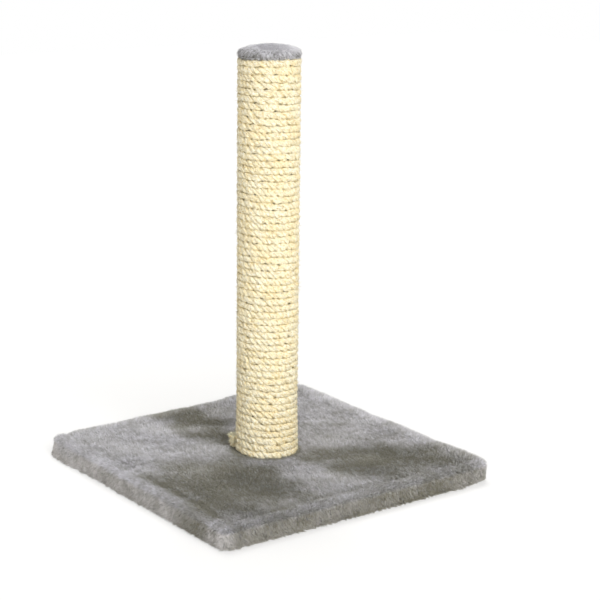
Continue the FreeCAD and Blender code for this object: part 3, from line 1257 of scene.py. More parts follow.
    def surface(self) -> RingSurface:
        """Lay the cloth from its hem, up the sides and over the top to the bolt.

        Returns:
            The cloth's outside.
        """
        floor, top = self.hem_lift, self.top + self.loft
        quarter = quarter_arc(self.round_steps)
        hem = np.linspace(self.hem_inner, self.side - self.floor_radius, self.hem_steps)
        wall = np.linspace(floor + self.floor_radius, top - self.top_radius, self.wall_steps)
        over = np.linspace(self.side - self.top_radius, self.bolt_clearance, self.top_steps)
        outline = [(half, floor) for half in hem[:-1]]
        for turn in quarter:
            outline.append((self.side - self.floor_radius * (1.0 - math.sin(turn)),
                            floor + self.floor_radius * (1.0 - math.cos(turn))))
        outline += [(self.side, height) for height in wall[1:-1]]
        for turn in quarter:
            outline.append((self.side - self.top_radius * (1.0 - math.cos(turn)),
                            top - self.top_radius * (1.0 - math.sin(turn))))
        outline += [(half, top) for half in over[1:]]
        rings = np.stack([
            self.square_ring(half, height, float(self.round_plan(np.array(half)))) for half, height in outline
        ])
        upper = ease(rings[..., 2], top - self.top_radius, top)
        from_post = from_axis(rings)
        rings[..., 2] -= upper * self.loft * self.foot_cloth(from_post)
        open_top = upper * self.open_cloth(from_post)
        rings[..., 2] += open_top * self.rumple * Waves(Draw.RUMPLE, self.rumple_size)(rings)
        rings[..., 2] -= open_top * self.crease_depth * self.crease(rings)
        return RingSurface(rings + self.swelling(rings))

    def swelling(self, rings: np.ndarray) -> np.ndarray:
        """Work out how far the cloth bulges outward low on the sides, most of all in its gathered corner.

        Args:
            rings: the cloth's points.

        Returns:
            A push for each point.
        """
        flat = np.abs(rings[..., :2])
        low = self.swell_height(rings[..., 2]) * self.inset(flat.max(-1), self.swell_inset)
        near = flat.min(-1)
        left = (rings[..., 0] < 0.0) & (rings[..., 1] > 0.0)
        slack = self.inset(near, self.slack_start_inset) * self.inset(near, self.slack_end_inset)
        gathered = left * (self.gather_share * self.inset(near, self.gather_inset) + self.slack_share * slack)
        push = self.low_swell + self.corner_swell * gathered - self.corner_tuck * self.tucked(rings)
        return (low * push)[..., None] * self.outward(rings.reshape(-1, 3)).reshape(rings.shape)

    def tucked(self, points: np.ndarray) -> np.ndarray:
        """Read how near a place is to the right corner, where the cloth is pulled in tightest.

        Args:
            points: places on the cloth.

        Returns:
            0 away from the corner, 1 in it.
        """
        right = (points[..., 0] > 0.0) & (points[..., 1] < 0.0)
        return right * self.inset(np.abs(points[..., :2]).min(-1), self.tuck_inset)

    def crease(self, points: np.ndarray) -> np.ndarray:
        """Read how deep the parting of the pile is, inside the rolled edges.

        Args:
            points: places on the cloth.

        Returns:
            0 where there is none, 1 in its bottom.
        """
        line = self.side - self.crease_line
        left = np.exp(-((points[..., 0] + line) / self.crease_width) ** 2)
        front = np.exp(-((points[..., 1] + line) / self.crease_width) ** 2) * self.crease_end(points[..., 0])
        return np.maximum(left, front)

    def rear(self, outward: np.ndarray) -> np.ndarray:
        """Read how far an edge is a rear one, whose pile stands up instead of rolling over.

        Args:
            outward: directions away from the base's middle.

        Returns:
            0 for the two front edges, 1 for the two rear ones.
        """
        return self.rear_turn(outward[:, 0] + outward[:, 1])

    def outward(self, roots: np.ndarray) -> np.ndarray:
        """Work out the level direction to the nearest edge.

        Args:
            roots: where the tufts stand.

        Returns:
            Unit vectors, (count, 3).
        """
        flat = np.abs(roots[:, :2])
        away = unit(np.sign(roots[:, :2]) * np.exp((flat - self.side) / self.corner_blend))
        return np.concatenate([away, np.zeros((len(roots), 1))], -1)

    def wall(self, normals: np.ndarray) -> np.ndarray:
        """Return 0 where the cloth faces up and 1 where it faces sideways or down."""
        return 1.0 - self.top_facing(normals[:, 2])

    def combed(self, roots: np.ndarray) -> np.ndarray:
        """Squeeze places along the nap, so that what is read there runs in long streaks.

        Args:
            roots: where the tufts stand.

        Returns:
            The squeezed places.
        """
        way = level_way(self.nap_heading_deg)
        return roots - (roots @ way)[:, None] * way * self.streak_squeeze

    def shades(self, roots: np.ndarray, normals: np.ndarray, lock_draw: np.ndarray,
               rng: np.random.Generator) -> np.ndarray:
        """Work out how light the pile looks.

        Args:
            roots: where the tufts stand.
            normals: outward direction there.
            lock_draw: a random number alike through each lock.
            rng: the seeded draw.

        Returns:
            The shade of each tuft; -1 is dark, and 1 is light.
        """
        bend = [Waves(Draw.PATCH_WARP + axis, self.patch_warp_size)(roots) for axis in range(3)]
        warped = roots + self.patch_warp * np.stack(bend, -1)
        wall = self.wall(normals)
        shade = nap_shade(BASE_NAP, warped) + nap_shade(EDGE_NAP_AND_PAINTED_CREASE_SHADE, roots)
        shade = shade * (1.0 - wall) + nap_shade(WALL_NAP, roots) * wall
        # Painted shade: the low fringe of pile along the floor is darkened.
        shade -= self.fringe_height(roots[:, 2]) * (self.fringe_painted_shade + self.fringe_lock_painted_shade * lock_draw)
        # Painted shadow: a dark ring on the pile round the post's foot.
        shade -= self.foot_painted_shadow * self.foot_shadow(from_axis(roots))
        # Painted light and shade: the left and rear walls are lighter, the front and right walls darker.
        turned = self.side_painted_light * normals[:, 0] - self.side_painted_light * normals[:, 1]
        shade -= turned * (1.0 - np.abs(normals[:, 2]))
        streaks = self.streak_shade * Waves(Draw.STREAKS, self.streak_size)(self.combed(roots))
        shade += streaks + self.fleck_shade * Waves(Draw.FLECKS, self.fleck_size)(roots)
        return shade + (self.lock_shade * lock_draw + self.tuft_shade * rng.normal(size=len(roots)))

    def lengths(self, roots: np.ndarray, normals: np.ndarray, lock_draw: np.ndarray,
                rng: np.random.Generator) -> np.ndarray:
        """Work out how long the tufts are.

        Args:
            roots: where the tufts stand.
            normals: outward direction there.
            lock_draw: a random number alike through each lock.
            rng: the seeded draw.

        Returns:
            The length of each tuft.
        """
        waves = self.wave_length * Waves(Draw.LENGTHS, self.wave_size)(roots)
        lengths = self.tuft_length * (1.0 + waves + self.lock_length * lock_draw)
        ragged = self.fringe_length + self.fringe_lock_length * lock_draw
        ragged += self.fringe_wave_length * Waves(Draw.FRINGE, self.fringe_wave_size)(roots)
        fringe = self.fringe_height(roots[:, 2]) * ragged * (1.0 - self.tuck_shortening * self.tucked(roots))
        lengths *= rng.uniform(*self.length_spread, len(roots)) * (1.0 + fringe)
        edge = self.inset(np.abs(roots[:, :2]).max(-1), self.rear_inset) * (normals[:, 2] > self.rear_facing)
        standing = self.rear_length + self.far_length * self.far_corner(roots[:, 0] + roots[:, 1])
        lengths *= 1.0 + standing * edge * self.rear(self.outward(roots))
        lengths *= 1.0 - self.under_shortening * self.under_facing(-normals[:, 2])
        lengths *= 1.0 - self.crease_shortening * self.crease(roots) * (normals[:, 2] > self.crease_facing)
        return lengths

    def leans(self, roots: np.ndarray, normals: np.ndarray, shade: np.ndarray) -> np.ndarray:
        """Work out which way the pile leans.

        Args:
            roots: where the tufts stand.
            normals: outward direction there.
            shade: how light the nap is there.

        Returns:
            Sideways push of each tuft, as a share of its height.
        """
        outward = self.outward(roots)
        inset = self.side - np.abs(roots[:, :2]).max(-1)
        swing = self.nap_swing_deg * Waves(Draw.NAP_SWING, self.nap_swing_size)(roots)
        heading = np.radians(self.nap_heading_deg + swing - self.shade_turn_deg * shade)
        nap = np.stack([np.cos(heading), np.sin(heading), np.zeros_like(heading)], -1) * self.nap_lean
        rim = ease(inset, self.crease_line + self.rim_start, self.crease_line - self.rim_end)[:, None]
        rear = self.rear(outward)[:, None]
        rolled = outward * (self.rim_lean - self.rear_upright * rear) + nap * self.rim_nap * (1.0 - rear)
        over = nap * (1.0 - rim) + rolled * rim
        foot = self.foot_pile(from_axis(roots))[:, None]
        over = over * (1.0 - foot) - radial(roots) * self.foot_lean * foot
        sway = self.sway * Waves(Draw.SWAY, self.sway_size)(roots)[:, None]
        around = np.cross(UP, outward)
        hang = self.hang_least + self.hang_more * self.hang_height(roots[:, 2])[:, None]
        down = around * sway - UP * hang
        under = outward * self.under_lean + around * sway * self.under_sway
        up_share = self.up_facing(normals[:, 2])[:, None]
        down_share = self.down_facing(-normals[:, 2])[:, None]
        return over * up_share + under * down_share + down * (1.0 - up_share - down_share)

    def grow(self, surface: RingSurface) -> list[Piece]:
        """Grow the pile.

        Args:
            surface: the cloth's outside.

        Returns:
            The pile's pieces.
        """
        rng = np.random.default_rng(Draw.BASE_PILE)
        roots, normals = surface.scatter(self.tuft_count, rng, self.tuft_length, self.under_share)
        keep = from_axis(roots) > self.post_clearance
        roots, normals = roots[keep], normals[keep]
        draws, inward = locks(roots, self.lock_tufts, rng)
        shade = self.shades(roots, normals, draws[:, 0], rng)
        lengths = self.lengths(roots, normals, draws[:, 1], rng)
        leans = self.leans(roots, normals, np.clip(shade, -1.0, 1.0))
        leans = leans + inward / lengths[:, None] * self.lock_gather
        leans += draws[:, 1:] * self.lock_lean + rng.normal(size=roots.shape) * self.tuft_lean
        widths = self.tuft_width * rng.uniform(*self.width_spread, len(roots))
        warmth = 1.0 - self.wall(normals)[:, None] * (1.0 - np.array(self.wall_warmth))
        tufts = Tufts(roots, normals, leans, lengths, widths, self.tone.mix(shade) * warmth)
        return tufts.pieces("base_pile", self.pile, Draw.BASE_TURN)

    def build(self) -> None:
        surface = self.surface()
        cloth = settle(surface.cloth("base_plush_cloth", self.cloth_thickness), self.backing)
        pile = self.grow(surface)
        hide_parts("base_cover")


# Painted light on the cap's top, and painted shade in the crease at its back right and on its sides.
CAP_PAINTED_LIGHT_AND_SHADE = (
    NapPatch(0.006, -0.006, 0.032, 0.032, 0.8),
    NapPatch(0.031, 0.016, 0.009, 0.007, -1.5),
    NapPatch(-0.036, 0.010, 0.012, 0.024, -0.35),
    NapPatch(0.036, -0.022, 0.014, 0.020, -0.3),
)


@dataclass
class PlushCap:
    """The domed plush disc that closes the top of the post."""

    backing: BackingFinish
    pile: FibreFinish
    tone: PlushGreyAndPaintedSheen = PlushGreyAndPaintedSheen(light=(0.94, 0.93, 0.98))

    # The cloth
    rim_radius: float = 0.0408
    shoulder: float = 0.0145
    cloth_rise: float = 0.0018
    cloth_thickness: float = 0.0012
    crown: float = 0.0036
    tilt: float = 0.001
    tilt_heading_deg: float = 323.0
    skirt: float = 0.0026
    droop_share: float = 1.08
    ring_points: int = 120
    shoulder_steps: int = 8
    crown_steps: int = 12
    middle_share: float = 0.02

    # The pile's tufts and their lengths
    tuft_count: int = 24000
    tuft_length: float = 0.0088
    tuft_width: float = 0.00033
    tip_reach: float = 0.5
    width_spread: Span = (0.75, 1.25)
    length_spread: Span = (0.8, 1.1)
    lock_tufts: int = 11
    lock_length: float = 0.1
    rim_height: Fade = Fade(0.008, 0.0)
    rim_shortening: float = 0.5
    rim_lock_length: float = 0.35
    rim_range: Span = (0.2, 1.8)
    beside: Fade = Fade(0.55, 0.95)
    beside_shortening: float = 0.4
    level_facing: Fade = Fade(0.75, 0.95)
    top_share: float = 0.42

    # Which way the pile leans
    comb_heading_deg: float = 240.0
    comb_lean: float = 1.9
    over_edge: Fade = Fade(0.45, 0.95)
    edge_lean: float = 1.6
    lock_gather: float = 0.3
    level_loosening: float = 0.25
    lock_lean: float = 0.12
    tuft_lean: float = 0.08

    # How light the pile looks
    # Painted light on the top, and painted shade on the steep sides and the back edge:
    light: float = 1.05
    painted_light_facing: Fade = Fade(0.2, 0.95)
    steep_painted_shade: float = 1.3
    painted_shade_back_edge: Fade = Fade(0.026, 0.038)
    back_painted_shade: float = 1.3
    fleck_shade: float = 0.15
    fleck_size: float = 0.02
    lock_shade: float = 0.42
    tuft_shade: float = 0.2

    def surface(self, winding: "SisalWinding") -> RingSurface:
        """Lay the cloth from its lower rim, up and over to the middle.

        Args:
            winding: the rope, whose top turn the rim comes down on.

        Returns:
            The cloth's outside.
        """
        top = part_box("cap_cover")[1].z + self.cloth_rise
        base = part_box("cap_cover")[0].z + self.skirt
        flat = self.rim_radius - self.shoulder
        angles = np.linspace(0.0, math.tau, self.ring_points, endpoint=False)
        droop = winding.gap_under_cap(np.degrees(angles)) * self.droop_share
        outline = [(self.rim_radius, base, 1.0)]
        shoulder_foot = top - self.crown - self.shoulder
        for turn in quarter_arc(self.shoulder_steps):
            radius = flat + self.shoulder * math.cos(turn)
            outline.append((radius, shoulder_foot + self.shoulder * math.sin(turn), 0.0))
        for share in np.linspace(1.0, self.middle_share, self.crown_steps)[1:]:
            outline.append((flat * share, top - self.crown * share * share, 0.0))
        toward = np.cos(angles - math.radians(self.tilt_heading_deg))
        rings = []
        for radius, height, pull in outline:
            sag = droop * pull - self.tilt * toward * (1.0 - pull) * radius / self.rim_radius
            rings.append(np.stack([radius * np.cos(angles), radius * np.sin(angles), height - sag], -1))
        return RingSurface(np.stack(rings))

    def lengths(self, roots: np.ndarray, normals: np.ndarray, draws: np.ndarray, rim_level: float,
                rng: np.random.Generator) -> np.ndarray:
        """Work out how long the tufts are: short on the top, and uneven round the rim.

        Args:
            roots: where the tufts stand.
            normals: outward direction there.
            draws: random numbers alike through each lock.
            rim_level: height of the cloth's rim.
            rng: the seeded draw.

        Returns:
            The length of each tuft.
        """
        lengths = self.tuft_length * (1.0 + self.lock_length * draws[:, 1])
        lengths *= rng.uniform(*self.length_spread, len(roots))
        rim = self.rim_height(roots[:, 2] - rim_level)
        beside = self.beside(np.abs(radial(roots) @ level_way(self.tilt_heading_deg)))
        uneven = 1.0 + rim * (self.rim_lock_length * draws[:, 2] - self.beside_shortening * beside)
        lengths *= (1.0 - self.rim_shortening * rim) * np.clip(uneven, *self.rim_range)
        return lengths * (1.0 - (1.0 - self.top_share) * self.level_facing(normals[:, 2]))

    def leans(self, roots: np.ndarray, normals: np.ndarray, draws: np.ndarray, inward: np.ndarray,
              rng: np.random.Generator) -> np.ndarray:
        """Work out which way the pile leans: combed one way on the top, and downhill over the edge.

        Args:
            roots: where the tufts stand.
            normals: outward direction there.
            draws: random numbers alike through each lock.
            inward: the way from each tuft to its lock's middle.
            rng: the seeded draw.

        Returns:
            Sideways push of each tuft, as a share of its height.
        """
        flare = np.linalg.norm(normals[:, :2], axis=-1, keepdims=True)
        downhill = radial(roots) * normals[:, 2:] - UP * flare
        over = self.over_edge(from_axis(roots) / self.rim_radius)[:, None]
        comb = level_way(self.comb_heading_deg)
        leans = comb * self.comb_lean * (1.0 - over) + downhill * self.edge_lean * over
        gather = self.lock_gather - self.level_loosening * self.level_facing(normals[:, 2])
        shared = inward / self.tuft_length * gather[:, None] + draws[:, 1:] * self.lock_lean
        return leans + (shared + rng.normal(size=roots.shape) * self.tuft_lean)

    def shades(self, roots: np.ndarray, normals: np.ndarray, lock_draw: np.ndarray,
               rng: np.random.Generator) -> np.ndarray:
        """Work out how light the pile looks.

        Args:
            roots: where the tufts stand.
            normals: outward direction there.
            lock_draw: a random number alike through each lock.
            rng: the seeded draw.

        Returns:
            The shade of each tuft; -1 is dark, and 1 is light.
        """
        flecks = self.fleck_shade * Waves(Draw.CAP_FLECKS, self.fleck_size)(roots)
        uneven = flecks + self.lock_shade * lock_draw + self.tuft_shade * rng.normal(size=len(roots))
        # Painted light and shade: the top is kept lighter, and the steep sides and the back edge are darker.
        steep_painted_shade_mask = 1.0 - self.painted_light_facing(normals[:, 2])
        back = self.painted_shade_back_edge(-(roots @ level_way(self.comb_heading_deg)))
        plain = self.light - self.steep_painted_shade * steep_painted_shade_mask - self.back_painted_shade * back
        return nap_shade(CAP_PAINTED_LIGHT_AND_SHADE, roots) + uneven + plain

    def grow(self, surface: RingSurface) -> list[Piece]:
        """Grow the cap's pile.

        Args:
            surface: the cloth's outside.

        Returns:
            The pile's pieces.
        """
        rng = np.random.default_rng(Draw.CAP_PILE)
        roots, normals = surface.scatter(self.tuft_count, rng, self.tip_reach * self.tuft_length)
        draws, inward = locks(roots, self.lock_tufts, rng)
        lengths = self.lengths(roots, normals, draws, surface.rings[0, :, 2].mean(), rng)
        leans = self.leans(roots, normals, draws, inward, rng)
        shade = self.shades(roots, normals, draws[:, 0], rng)
        widths = self.tuft_width * rng.uniform(*self.width_spread, len(roots))
        tufts = Tufts(roots, normals, leans, lengths, widths, self.tone.mix(shade), painted_root_shade=1.0)
        return tufts.pieces("cap_pile", self.pile, Draw.CAP_TURN)

    def build(self, winding: "SisalWinding") -> None:
        """Args:
            winding: the rope that the cap's rim comes down on.
        """
        surface = self.surface(winding)
        cloth = settle(surface.cloth("cap_plush_cloth", self.cloth_thickness), self.backing)
        pile = self.grow(surface)
        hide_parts("cap_cover")


# The rope

@dataclass(frozen=True)
class LooseFibres:
    """Loose sisal fibres of one kind.

    Attributes:
        count: how many are drawn.
        lengths: the shortest and the longest.
        widths: the thinnest and the thickest, as half a thickness at the root.
        colour: what the fibres are tinted with.
        light: the darkest and the lightest share of that colour.
        spread: how far they stray from the way they point.
        painted_root_shade: brightness of the root beside the bend; the darker root is painted shade.
    """

    count: int
    lengths: Span
    widths: Span
    colour: Colour
    light: Span
    spread: float
    # The darker root is painted shade.
    painted_root_shade: float


@dataclass
class SisalWinding:
    """The sisal rope: three strands laid together and wound round the tube, with a loose frayed lower end.

    A size whose name ends in waver is how far something varies, and its waver_size is the wavelength.
    """

    strand_finish: StrandFinish
    fibre_finish: FibreFinish

    # The helix, which follows the solids
    hand: Hand = Hand.LEFT
    diameter: float = 0.00935
    foot_angle_deg: float = 100.0
    head_angle_deg: float = 140.0
    whole_turns: int = 57
    turn_points: int = 180
    step: float = 0.00135
    wander: float = 0.0004
    wander_size: float = 0.09
    head_lift: float = 0.005
    head_turns: float = 3.0
    head_end: Fade = Fade(1.0, 0.99)
    foot_sink: float = 0.0024
    sink_start: Fade = Fade(0.1, 0.5)
    sink_end: Fade = Fade(4.0, 0.5)
    foot_flare: float = 0.0016
    flare_turns: Fade = Fade(8.0, 0.0)

    # The strands
    strands: int = 3
    lay_hand: Hand = Hand.RIGHT
    lay: float = 0.0245
    lay_waver: float = 0.35
    lay_waver_size: float = 0.05
    strand_offset: float = 0.0022
    offset_waver: float = 0.05
    offset_waver_size: float = 0.016
    strand_height: float = 0.0026
    strand_breadth: float = 0.0029
    strand_points: int = 18
    size_waver: float = 0.09
    size_waver_size: float = 0.013
    lump_depth: float = 0.00026
    lump_size: float = 0.0036
    yarns: int = 4
    yarn_depth: float = 0.085
    yarn_twist: float = 200.0
    grain_shift: float = 0.37

    # How the turns press on one another
    press: float = 1.18
    press_order: float = 10.0
    overlap: float = 1.08
    bite: float = 0.12
    bite_size: float = 0.009
    flat_reach: float = 0.0056
    flat_press: float = 1.15
    flat_order: float = 6.0
    grip: Fade = Fade(0.04, 0.07)

    # The loose lower end
    tail_points: int = 80
    tail_sweep_deg: float = 43.0
    tail_out: float = 0.0086
    tail_swing: Fade = Fade(0.05, 0.6)
    tail_rise: float = 0.0205
    tail_bend: float = 2.5
    fray_length: float = 0.006
    fray_offset: float = 0.4
    fray_size: float = 0.1
    fray_rings: int = 9
    fray_ahead: int = 3
    fray: LooseFibres = LooseFibres(
        count=640,
        lengths=(0.003, 0.009),
        widths=(0.0002, 0.0004),
        colour=(1.0, 0.96, 0.74),
        light=(0.8, 1.0),
        spread=0.65,
        painted_root_shade=0.8,
    )

    # The stray fibres along the rope
    stray_margin: int = 4
    stray_ahead: int = 2
    stray_facing: float = 0.45
    stray_lean: Span = (1.0, 3.2)
    stray: LooseFibres = LooseFibres(
        count=24000,
        lengths=(0.003, 0.009),
        widths=(0.0001, 0.00022),
        colour=(0.97, 0.89, 0.66),
        light=(0.55, 1.03),
        spread=0.4,
        painted_root_shade=0.9,
    )

    def __post_init__(self) -> None:
        """Take the helix from the rope's solids."""
        low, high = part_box("sisal_rope_lower")
        self.radius = high.x - 0.5 * self.diameter
        turn_share = (self.foot_angle_deg - self.head_angle_deg) / TURN_DEG % 1.0
        self.turns = self.whole_turns + turn_share
        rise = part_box("sisal_rope_upper")[1].z - low.z - self.diameter
        self.pitch = rise / (self.turns + 2.0 * self.diameter / (math.tau * self.radius))
        self.foot = low.z + 0.5 * self.diameter + self.pitch * self.diameter / (math.tau * self.radius)

    def gap_under_cap(self, angles_deg: np.ndarray) -> np.ndarray:
        """Work out how far the rope's top turn lies below its own highest point.

        Args:
            angles_deg: angles round the post.

        Returns:
            The drop at each angle, softened where the rope ends.
        """
        behind = (angles_deg - self.head_angle_deg) % TURN_DEG / TURN_DEG
        drop = self.pitch * behind - self.lift(behind)
        return drop * self.head_end(behind)

    def lift(self, behind: np.ndarray) -> np.ndarray:
        """Work out how far the top turns are pushed up against the cap.

        Args:
            behind: turns of rope between a place and the rope's upper end.

        Returns:
            The push at each place.
        """
        fading = np.clip(1.0 - behind / self.head_turns, 0.0, 1.0)
        return self.head_lift * fading * np.sin(math.pi * behind) ** 2

    def route(self) -> np.ndarray:
        """Walk along the rope's middle line, from its loose end up to the cap.

        Returns:
            Points one step apart, (count, 3).
        """
        beyond = np.linspace(1.0, 0.0, self.tail_points)[:-1]
        tail = -self.tail_sweep_deg / TURN_DEG * (1.0 - (1.0 - beyond) ** self.tail_bend)
        winding = np.linspace(0.0, self.turns, int(self.turns * self.turn_points))
        turn = np.concatenate([tail, winding])
        beyond = np.concatenate([beyond, np.zeros_like(winding)])
        radius = self.radius + self.tail_out * self.tail_swing(beyond)
        radius = radius + self.foot_flare * self.flare_turns(turn)
        height = self.foot + self.pitch * turn + self.lift(self.turns - turn)
        height += self.tail_rise * beyond ** self.tail_bend
        height -= self.foot_sink * self.sink_start(turn) * self.sink_end(turn)
        angle = np.radians(self.foot_angle_deg) + self.hand.value * math.tau * turn
        line = np.stack([radius * np.cos(angle), radius * np.sin(angle), height], -1)
        line[:, 2] += self.wander * Waves(Draw.WANDER, self.wander_size)(line)
        walked = np.concatenate([[0.0], np.cumsum(np.linalg.norm(np.diff(line, axis=0), axis=-1))])
        even = np.linspace(0.0, walked[-1], int(walked[-1] / self.step))
        return np.stack([np.interp(even, walked, line[:, axis]) for axis in range(3)], -1)

    def strand(self, number: int, line: np.ndarray) -> np.ndarray:
        """Lay one strand round the rope's middle line.

        Args:
            number: which strand.
            line: the rope's middle line.

        Returns:
            Rings of points, (step, place round the strand, xyz).
        """
        way = unit(np.gradient(line, axis=0))
        away = radial(line)
        out = unit(away - way * (away * way).sum(-1, keepdims=True))
        aside = np.cross(way, out)
        walked = np.arange(len(line)) * self.step
        loose = ease(walked, self.fray_length, 0.0)
        turn = self.lay_hand.value * math.tau * walked / self.lay + math.tau * number / self.strands
        turn += self.lay_waver * Waves(Draw.STRAND_LAY + number, self.lay_waver_size)(line)
        shift = self.offset_waver * Waves(Draw.STRAND_OFFSET + number, self.offset_waver_size)(line)
        offset = self.strand_offset * (1.0 + shift + self.fray_offset * loose)
        heading = out * np.cos(turn)[:, None] + aside * np.sin(turn)[:, None]
        across = aside * np.cos(turn)[:, None] - out * np.sin(turn)[:, None]
        centre = line + heading * offset[:, None]
        swell = self.size_waver * Waves(Draw.STRAND_SIZE + number, self.size_waver_size)(line)
        size = (1.0 + swell) * (1.0 + self.fray_size * loose)
        around = np.linspace(0.0, math.tau, self.strand_points, endpoint=False)[None, :, None] + math.pi
        ridge = np.cos(self.yarns * around + self.yarn_twist * walked[:, None, None] * self.yarns)
        full = size[:, None, None] * (1.0 + self.yarn_depth * ridge)
        rings = (centre[:, None] + heading[:, None] * np.cos(around) * self.strand_height * full
                 + across[:, None] * np.sin(around) * self.strand_breadth * full)
        grip = self.grip(walked)[:, None]
        rings = self.pressed(rings, line, aside, grip)
        rings = self.flattened(rings, line, out, grip)
        lumps = self.lump_depth * Waves(Draw.LUMPS + number, self.lump_size)(rings)
        return rings + unit(rings - centre[:, None]) * lumps[..., None]

    @staticmethod
    def squeezed(reach: np.ndarray, room: np.ndarray | float, order: float) -> np.ndarray:
        """Keep distances inside a room, softly near its wall.

        Args:
            reach: distances from the middle.
            room: how far the wall is.
            order: how suddenly the wall is felt.

        Returns:
            The shortened distances.
        """
        return reach / (1.0 + np.abs(reach / room) ** order) ** (1.0 / order)

    def pressed(self, rings: np.ndarray, line: np.ndarray, aside: np.ndarray,
                grip: np.ndarray) -> np.ndarray:
        """Flatten a strand where the turns above and below press on it.

        Args:
            rings: the strand's rings of points.
            line: the rope's middle line.
            aside: direction across the rope, along the post.
            grip: how far each ring is held, 0 on the loose end.

        Returns:
            The flattened rings.
        """
        angle = np.unwrap(np.arctan2(line[:, 1], line[:, 0]))
        turn = np.maximum.accumulate(self.hand.value * (angle - angle[0]) / math.tau)
        height = line[:, 2]
        above = np.where(turn + 1.0 < turn[-1], np.interp(turn + 1.0, turn, height) - height, self.pitch)
        below = np.where(turn > 1.0, height - np.interp(turn - 1.0, turn, height), self.pitch)
        across = ((rings - line[:, None]) * aside[:, None]).sum(-1)
        room = 0.5 * np.where(across > 0.0, above[:, None], below[:, None])
        room *= self.overlap + self.bite * Waves(Draw.BITE, self.bite_size)(line)[:, None]
        swollen = across * self.press * 2.0 * room / self.pitch
        held = self.squeezed(swollen, room, self.press_order)
        return rings + ((held - across) * grip)[..., None] * aside[:, None]

    def flattened(self, rings: np.ndarray, line: np.ndarray, out: np.ndarray,
                  grip: np.ndarray) -> np.ndarray:
        """Keep a strand's outer side inside the rope's own roundness.

        Args:
            rings: the strand's rings of points.
            line: the rope's middle line.
            out: direction away from the post.
            grip: how far each ring is held, 0 on the loose end.

        Returns:
            The flattened rings.
        """
        proud = ((rings - line[:, None]) * out[:, None]).sum(-1)
        level = self.squeezed(proud * self.flat_press, self.flat_reach, self.flat_order)
        push = np.where(proud > 0.0, level - proud, 0.0) * grip
        return rings + push[..., None] * out[:, None]

    def strand_piece(self, name: str, rings: np.ndarray, started: float) -> Piece:
        """Make a closed mesh of a stretch of strand.

        Args:
            name: the piece's name.
            rings: the stretch's rings of points.
            started: length of strand before this stretch.

        Returns:
            The mesh object, with the way along and round the strand as its texture coordinates.
        """
        count, points = rings.shape[:2]
        quads = ring_faces(count, points)
        first = np.arange(points)[::-1][None, :]
        last = np.arange(points)[None, :] + (count - 1) * points
        piece = mesh_piece(name, rings.reshape(-1, 3), [quads], [first, last])
        along = (started + np.arange(count) * self.step)[:, None]
        grid = np.stack(np.broadcast_arrays(along, np.arange(points)[None, :] / points), -1)
        grid[..., 1] += grid[..., 0] * self.yarn_twist / math.tau
        sides = grid.reshape(-1, 2)[quads]
        seam = quads[:, 1] % points == 0
        sides[seam, 1:3, 1] += 1.0
        ends = grid.reshape(-1, 2)[np.concatenate([first.ravel(), last.ravel()])]
        layer = piece.data.uv_layers.new(name=GRAIN)
        spots = np.concatenate([sides.reshape(-1, 2), ends]).astype(np.float32)
        layer.data.foreach_set("uv", spots.ravel())
        return settle(piece, self.strand_finish)

    def stray_fibres(self, grid: np.ndarray, rng: np.random.Generator) -> None:
        """Set fine loose fibres on the strands' outer sides.

        Args:
            grid: the strands' rings, (strand, step, place round the strand, xyz).
            rng: the seeded draw.
        """
        kind = self.stray
        centres = grid.mean(2)
        which = rng.integers(0, len(grid), kind.count)
        ring = rng.integers(self.stray_margin, grid.shape[1] - self.stray_margin, kind.count)
        spot = rng.integers(0, self.strand_points, kind.count)
        roots = grid[which, ring, spot]
        normals = unit(roots - centres[which, ring])
        outer = (normals * radial(roots)).sum(-1) > self.stray_facing
        which, ring, roots, normals = which[outer], ring[outer], roots[outer], normals[outer]
        count = len(roots)
        way = unit(centres[which, ring + self.stray_ahead] - centres[which, ring - self.stray_ahead])
        leans = way * (rng.choice([-1.0, 1.0], count) * rng.uniform(*self.stray_lean, count))[:, None]
        leans += rng.normal(size=roots.shape) * kind.spread
        lengths = rng.uniform(*kind.lengths, count)
        colours = np.array(kind.colour) * rng.uniform(*kind.light, (count, 1))
        widths = rng.uniform(*kind.widths, count)
        fibres = Tufts(roots, normals, leans, lengths, widths, colours, kind.painted_root_shade, painted_tip_light=1.0)
        fibres.pieces("sisal_stray_fibres", self.fibre_finish, Draw.STRAY_TURN)

    def frayed_end(self, grid: np.ndarray, rng: np.random.Generator) -> None:
        """Fray the rope's loose lower end.

        Args:
            grid: the strands' rings, (strand, step, place round the strand, xyz).
            rng: the seeded draw.
        """
        kind = self.fray
        centres = grid.mean(2)
        which = rng.integers(0, len(grid), kind.count)
        ring = rng.integers(0, self.fray_rings, kind.count)
        inner = rng.uniform(0.0, 1.0, (kind.count, 1))
        outside = grid[which, ring, rng.integers(0, self.strand_points, kind.count)]
        roots = centres[which, ring] * inner + outside * (1.0 - inner)
        normals = unit(centres[which, ring] - centres[which, ring + self.fray_ahead])
        leans = rng.normal(size=roots.shape) * kind.spread
        colours = np.array(kind.colour) * rng.uniform(*kind.light, (kind.count, 1))
        lengths = rng.uniform(*kind.lengths, kind.count)
        widths = rng.uniform(*kind.widths, kind.count)
        fibres = Tufts(roots, normals, leans, lengths, widths, colours, kind.painted_root_shade, painted_tip_light=1.0)
        fibres.pieces("sisal_frayed_end", self.fibre_finish, Draw.FRAY_TURN)

    def build(self) -> None:
        """Make the strands, one piece for each solid's stretch, and their loose fibres."""
        line = self.route()
        grid = np.stack([self.strand(number, line) for number in range(self.strands)])
        cuts = np.linspace(0, len(line) - 1, len(Stretch) + 1).astype(int)
        for stretch, begin, end in zip(Stretch, cuts[:-1], cuts[1:]):
            for number, rings in enumerate(grid, 1):
                name = f"sisal_{stretch.value}_strand_{number}"
                started = begin * self.step + self.grain_shift * number
                piece = self.strand_piece(name, rings[begin:end + 1], started)
                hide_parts(f"sisal_rope_{stretch.value}")
        rng = np.random.default_rng(Draw.LOOSE_FIBRES)
        self.stray_fibres(grid, rng)
        self.frayed_end(grid, rng)


# Solids that are kept as they are

